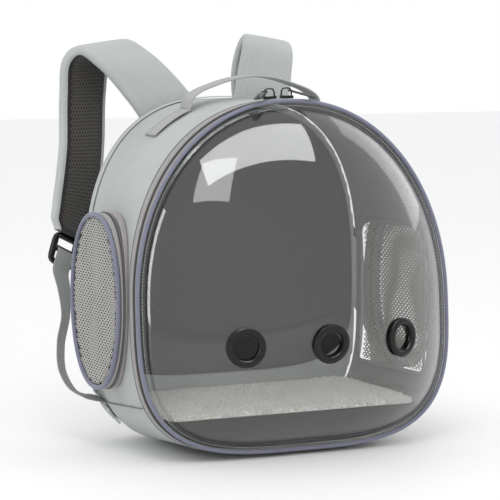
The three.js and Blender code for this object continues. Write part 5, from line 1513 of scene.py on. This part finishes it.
# %% Handle
HANDLE_WIDTH, HANDLE_THICK, HANDLE_HALF, HANDLE_RISE, HANDLE_BACK, PATCH_ANGLE = 24.0, 2.0, 76.0, 34.0, 115.0, 17.0
HANDLE_ARC = [(0.995, 0.14), (0.96, 0.34), (0.84, 0.54), (0.58, 0.76), (0.3, 0.93), (0.0, 1.0)]
handle_depth = lambda angle: HANDLE_BACK - rim_back(angle)
right_edge = angle_for_x(HANDLE_HALF, float(handle_depth(math.pi / 2)))
lift = CLEAR + HANDLE_THICK / 2
sewn_angles = np.linspace(right_edge - PATCH_ANGLE * DEG, right_edge, 24)
sewn = skin(sewn_angles, handle_depth(sewn_angles), lift)
seat = sewn[-1]
arc = np.array([(a * HANDLE_HALF, seat[1], seat[2] + r * HANDLE_RISE) for a, r in HANDLE_ARC])
mirror = np.array([-1.0, 1.0, 1.0])
free_path = np.concatenate([[seat], arc, arc[-2::-1] * mirror, [seat * mirror]])
free = through_points(free_path, np.linspace(0, 1, 110))
line = np.concatenate([sewn[:-1], free, (sewn[:-1] * mirror)[::-1]])
tangent = unit(np.gradient(line, axis=0))
side = np.broadcast_to([0.0, 1.0, 0.0], line.shape)
facing = unit(np.cross(side, tangent))
facing *= np.sign(facing[len(line) // 2, 2])
handle = ring_piece("handle_webbing", strip_rings(line, side, facing, HANDLE_WIDTH, HANDLE_THICK * 0.95),
                    [handle_cloth])
finish_piece(handle, ["carry_handle"])
patch_lines = []
for mirrored in (1, -1):
    for offset in (-9.5, -4.8, 0.0, 4.8, 9.5):
        points = skin(sewn_angles[1:-1], handle_depth(sewn_angles[1:-1]) + offset, CLEAR + HANDLE_THICK + 0.05)
        ups = normal(sewn_angles[1:-1], handle_depth(sewn_angles[1:-1]))
        flip = np.array([mirrored, 1, 1])
        patch_lines.append((points * flip, ups * flip))
    for k in (1, 6, 11, 16, 21):
        offsets = np.linspace(-9.5, 9.5, 8)
        points = skin(np.full(8, sewn_angles[k]), handle_depth(sewn_angles[k]) + offsets, CLEAR + HANDLE_THICK + 0.05)
        patch_lines.append((points * flip, np.broadcast_to(normal(sewn_angles[k], 100.0), (8, 3)) * flip))
row("handle_stitches", patch_lines, 3.0, (2.2, 0.6, 0.5), thread, 1)


# %% [markdown]
# ## Seams of the base
# The arch and the base are sewn together low on each side. The seam shows as a narrow folded ridge
# with a row of stitches under it, which also hides the gap between the two strips.

# %% Base seams
for angle, word in ((SEAM_RIGHT, "right"), (SEAM_LEFT, "left")):
    depths = np.linspace(trim_far + 0.5, float(depth_at(angle)) - 9.6, 90)
    ridge = []
    for turn_share, h in [(-1, 0.0), (-1, 0.35), (-0.5, 0.8), (0, 0.95), (0.5, 0.8), (1, 0.35), (1, 0.0), (0, 0.0)]:
        ridge.append(skin(angle + turn_share * 0.0055, depths, -0.4 + h))
    finish_piece(ring_piece(f"base_seam_{word}", np.stack(ridge, 1), [trim_cloth]))
    lines = [skin_line(np.full(80, angle + s * 0.022), depths[5:85], -0.15) for s in (-1, 1)]
    row(f"seam_stitches_{word}", lines, 3.4, (2.5, 0.45, 0.4), thread, 1)
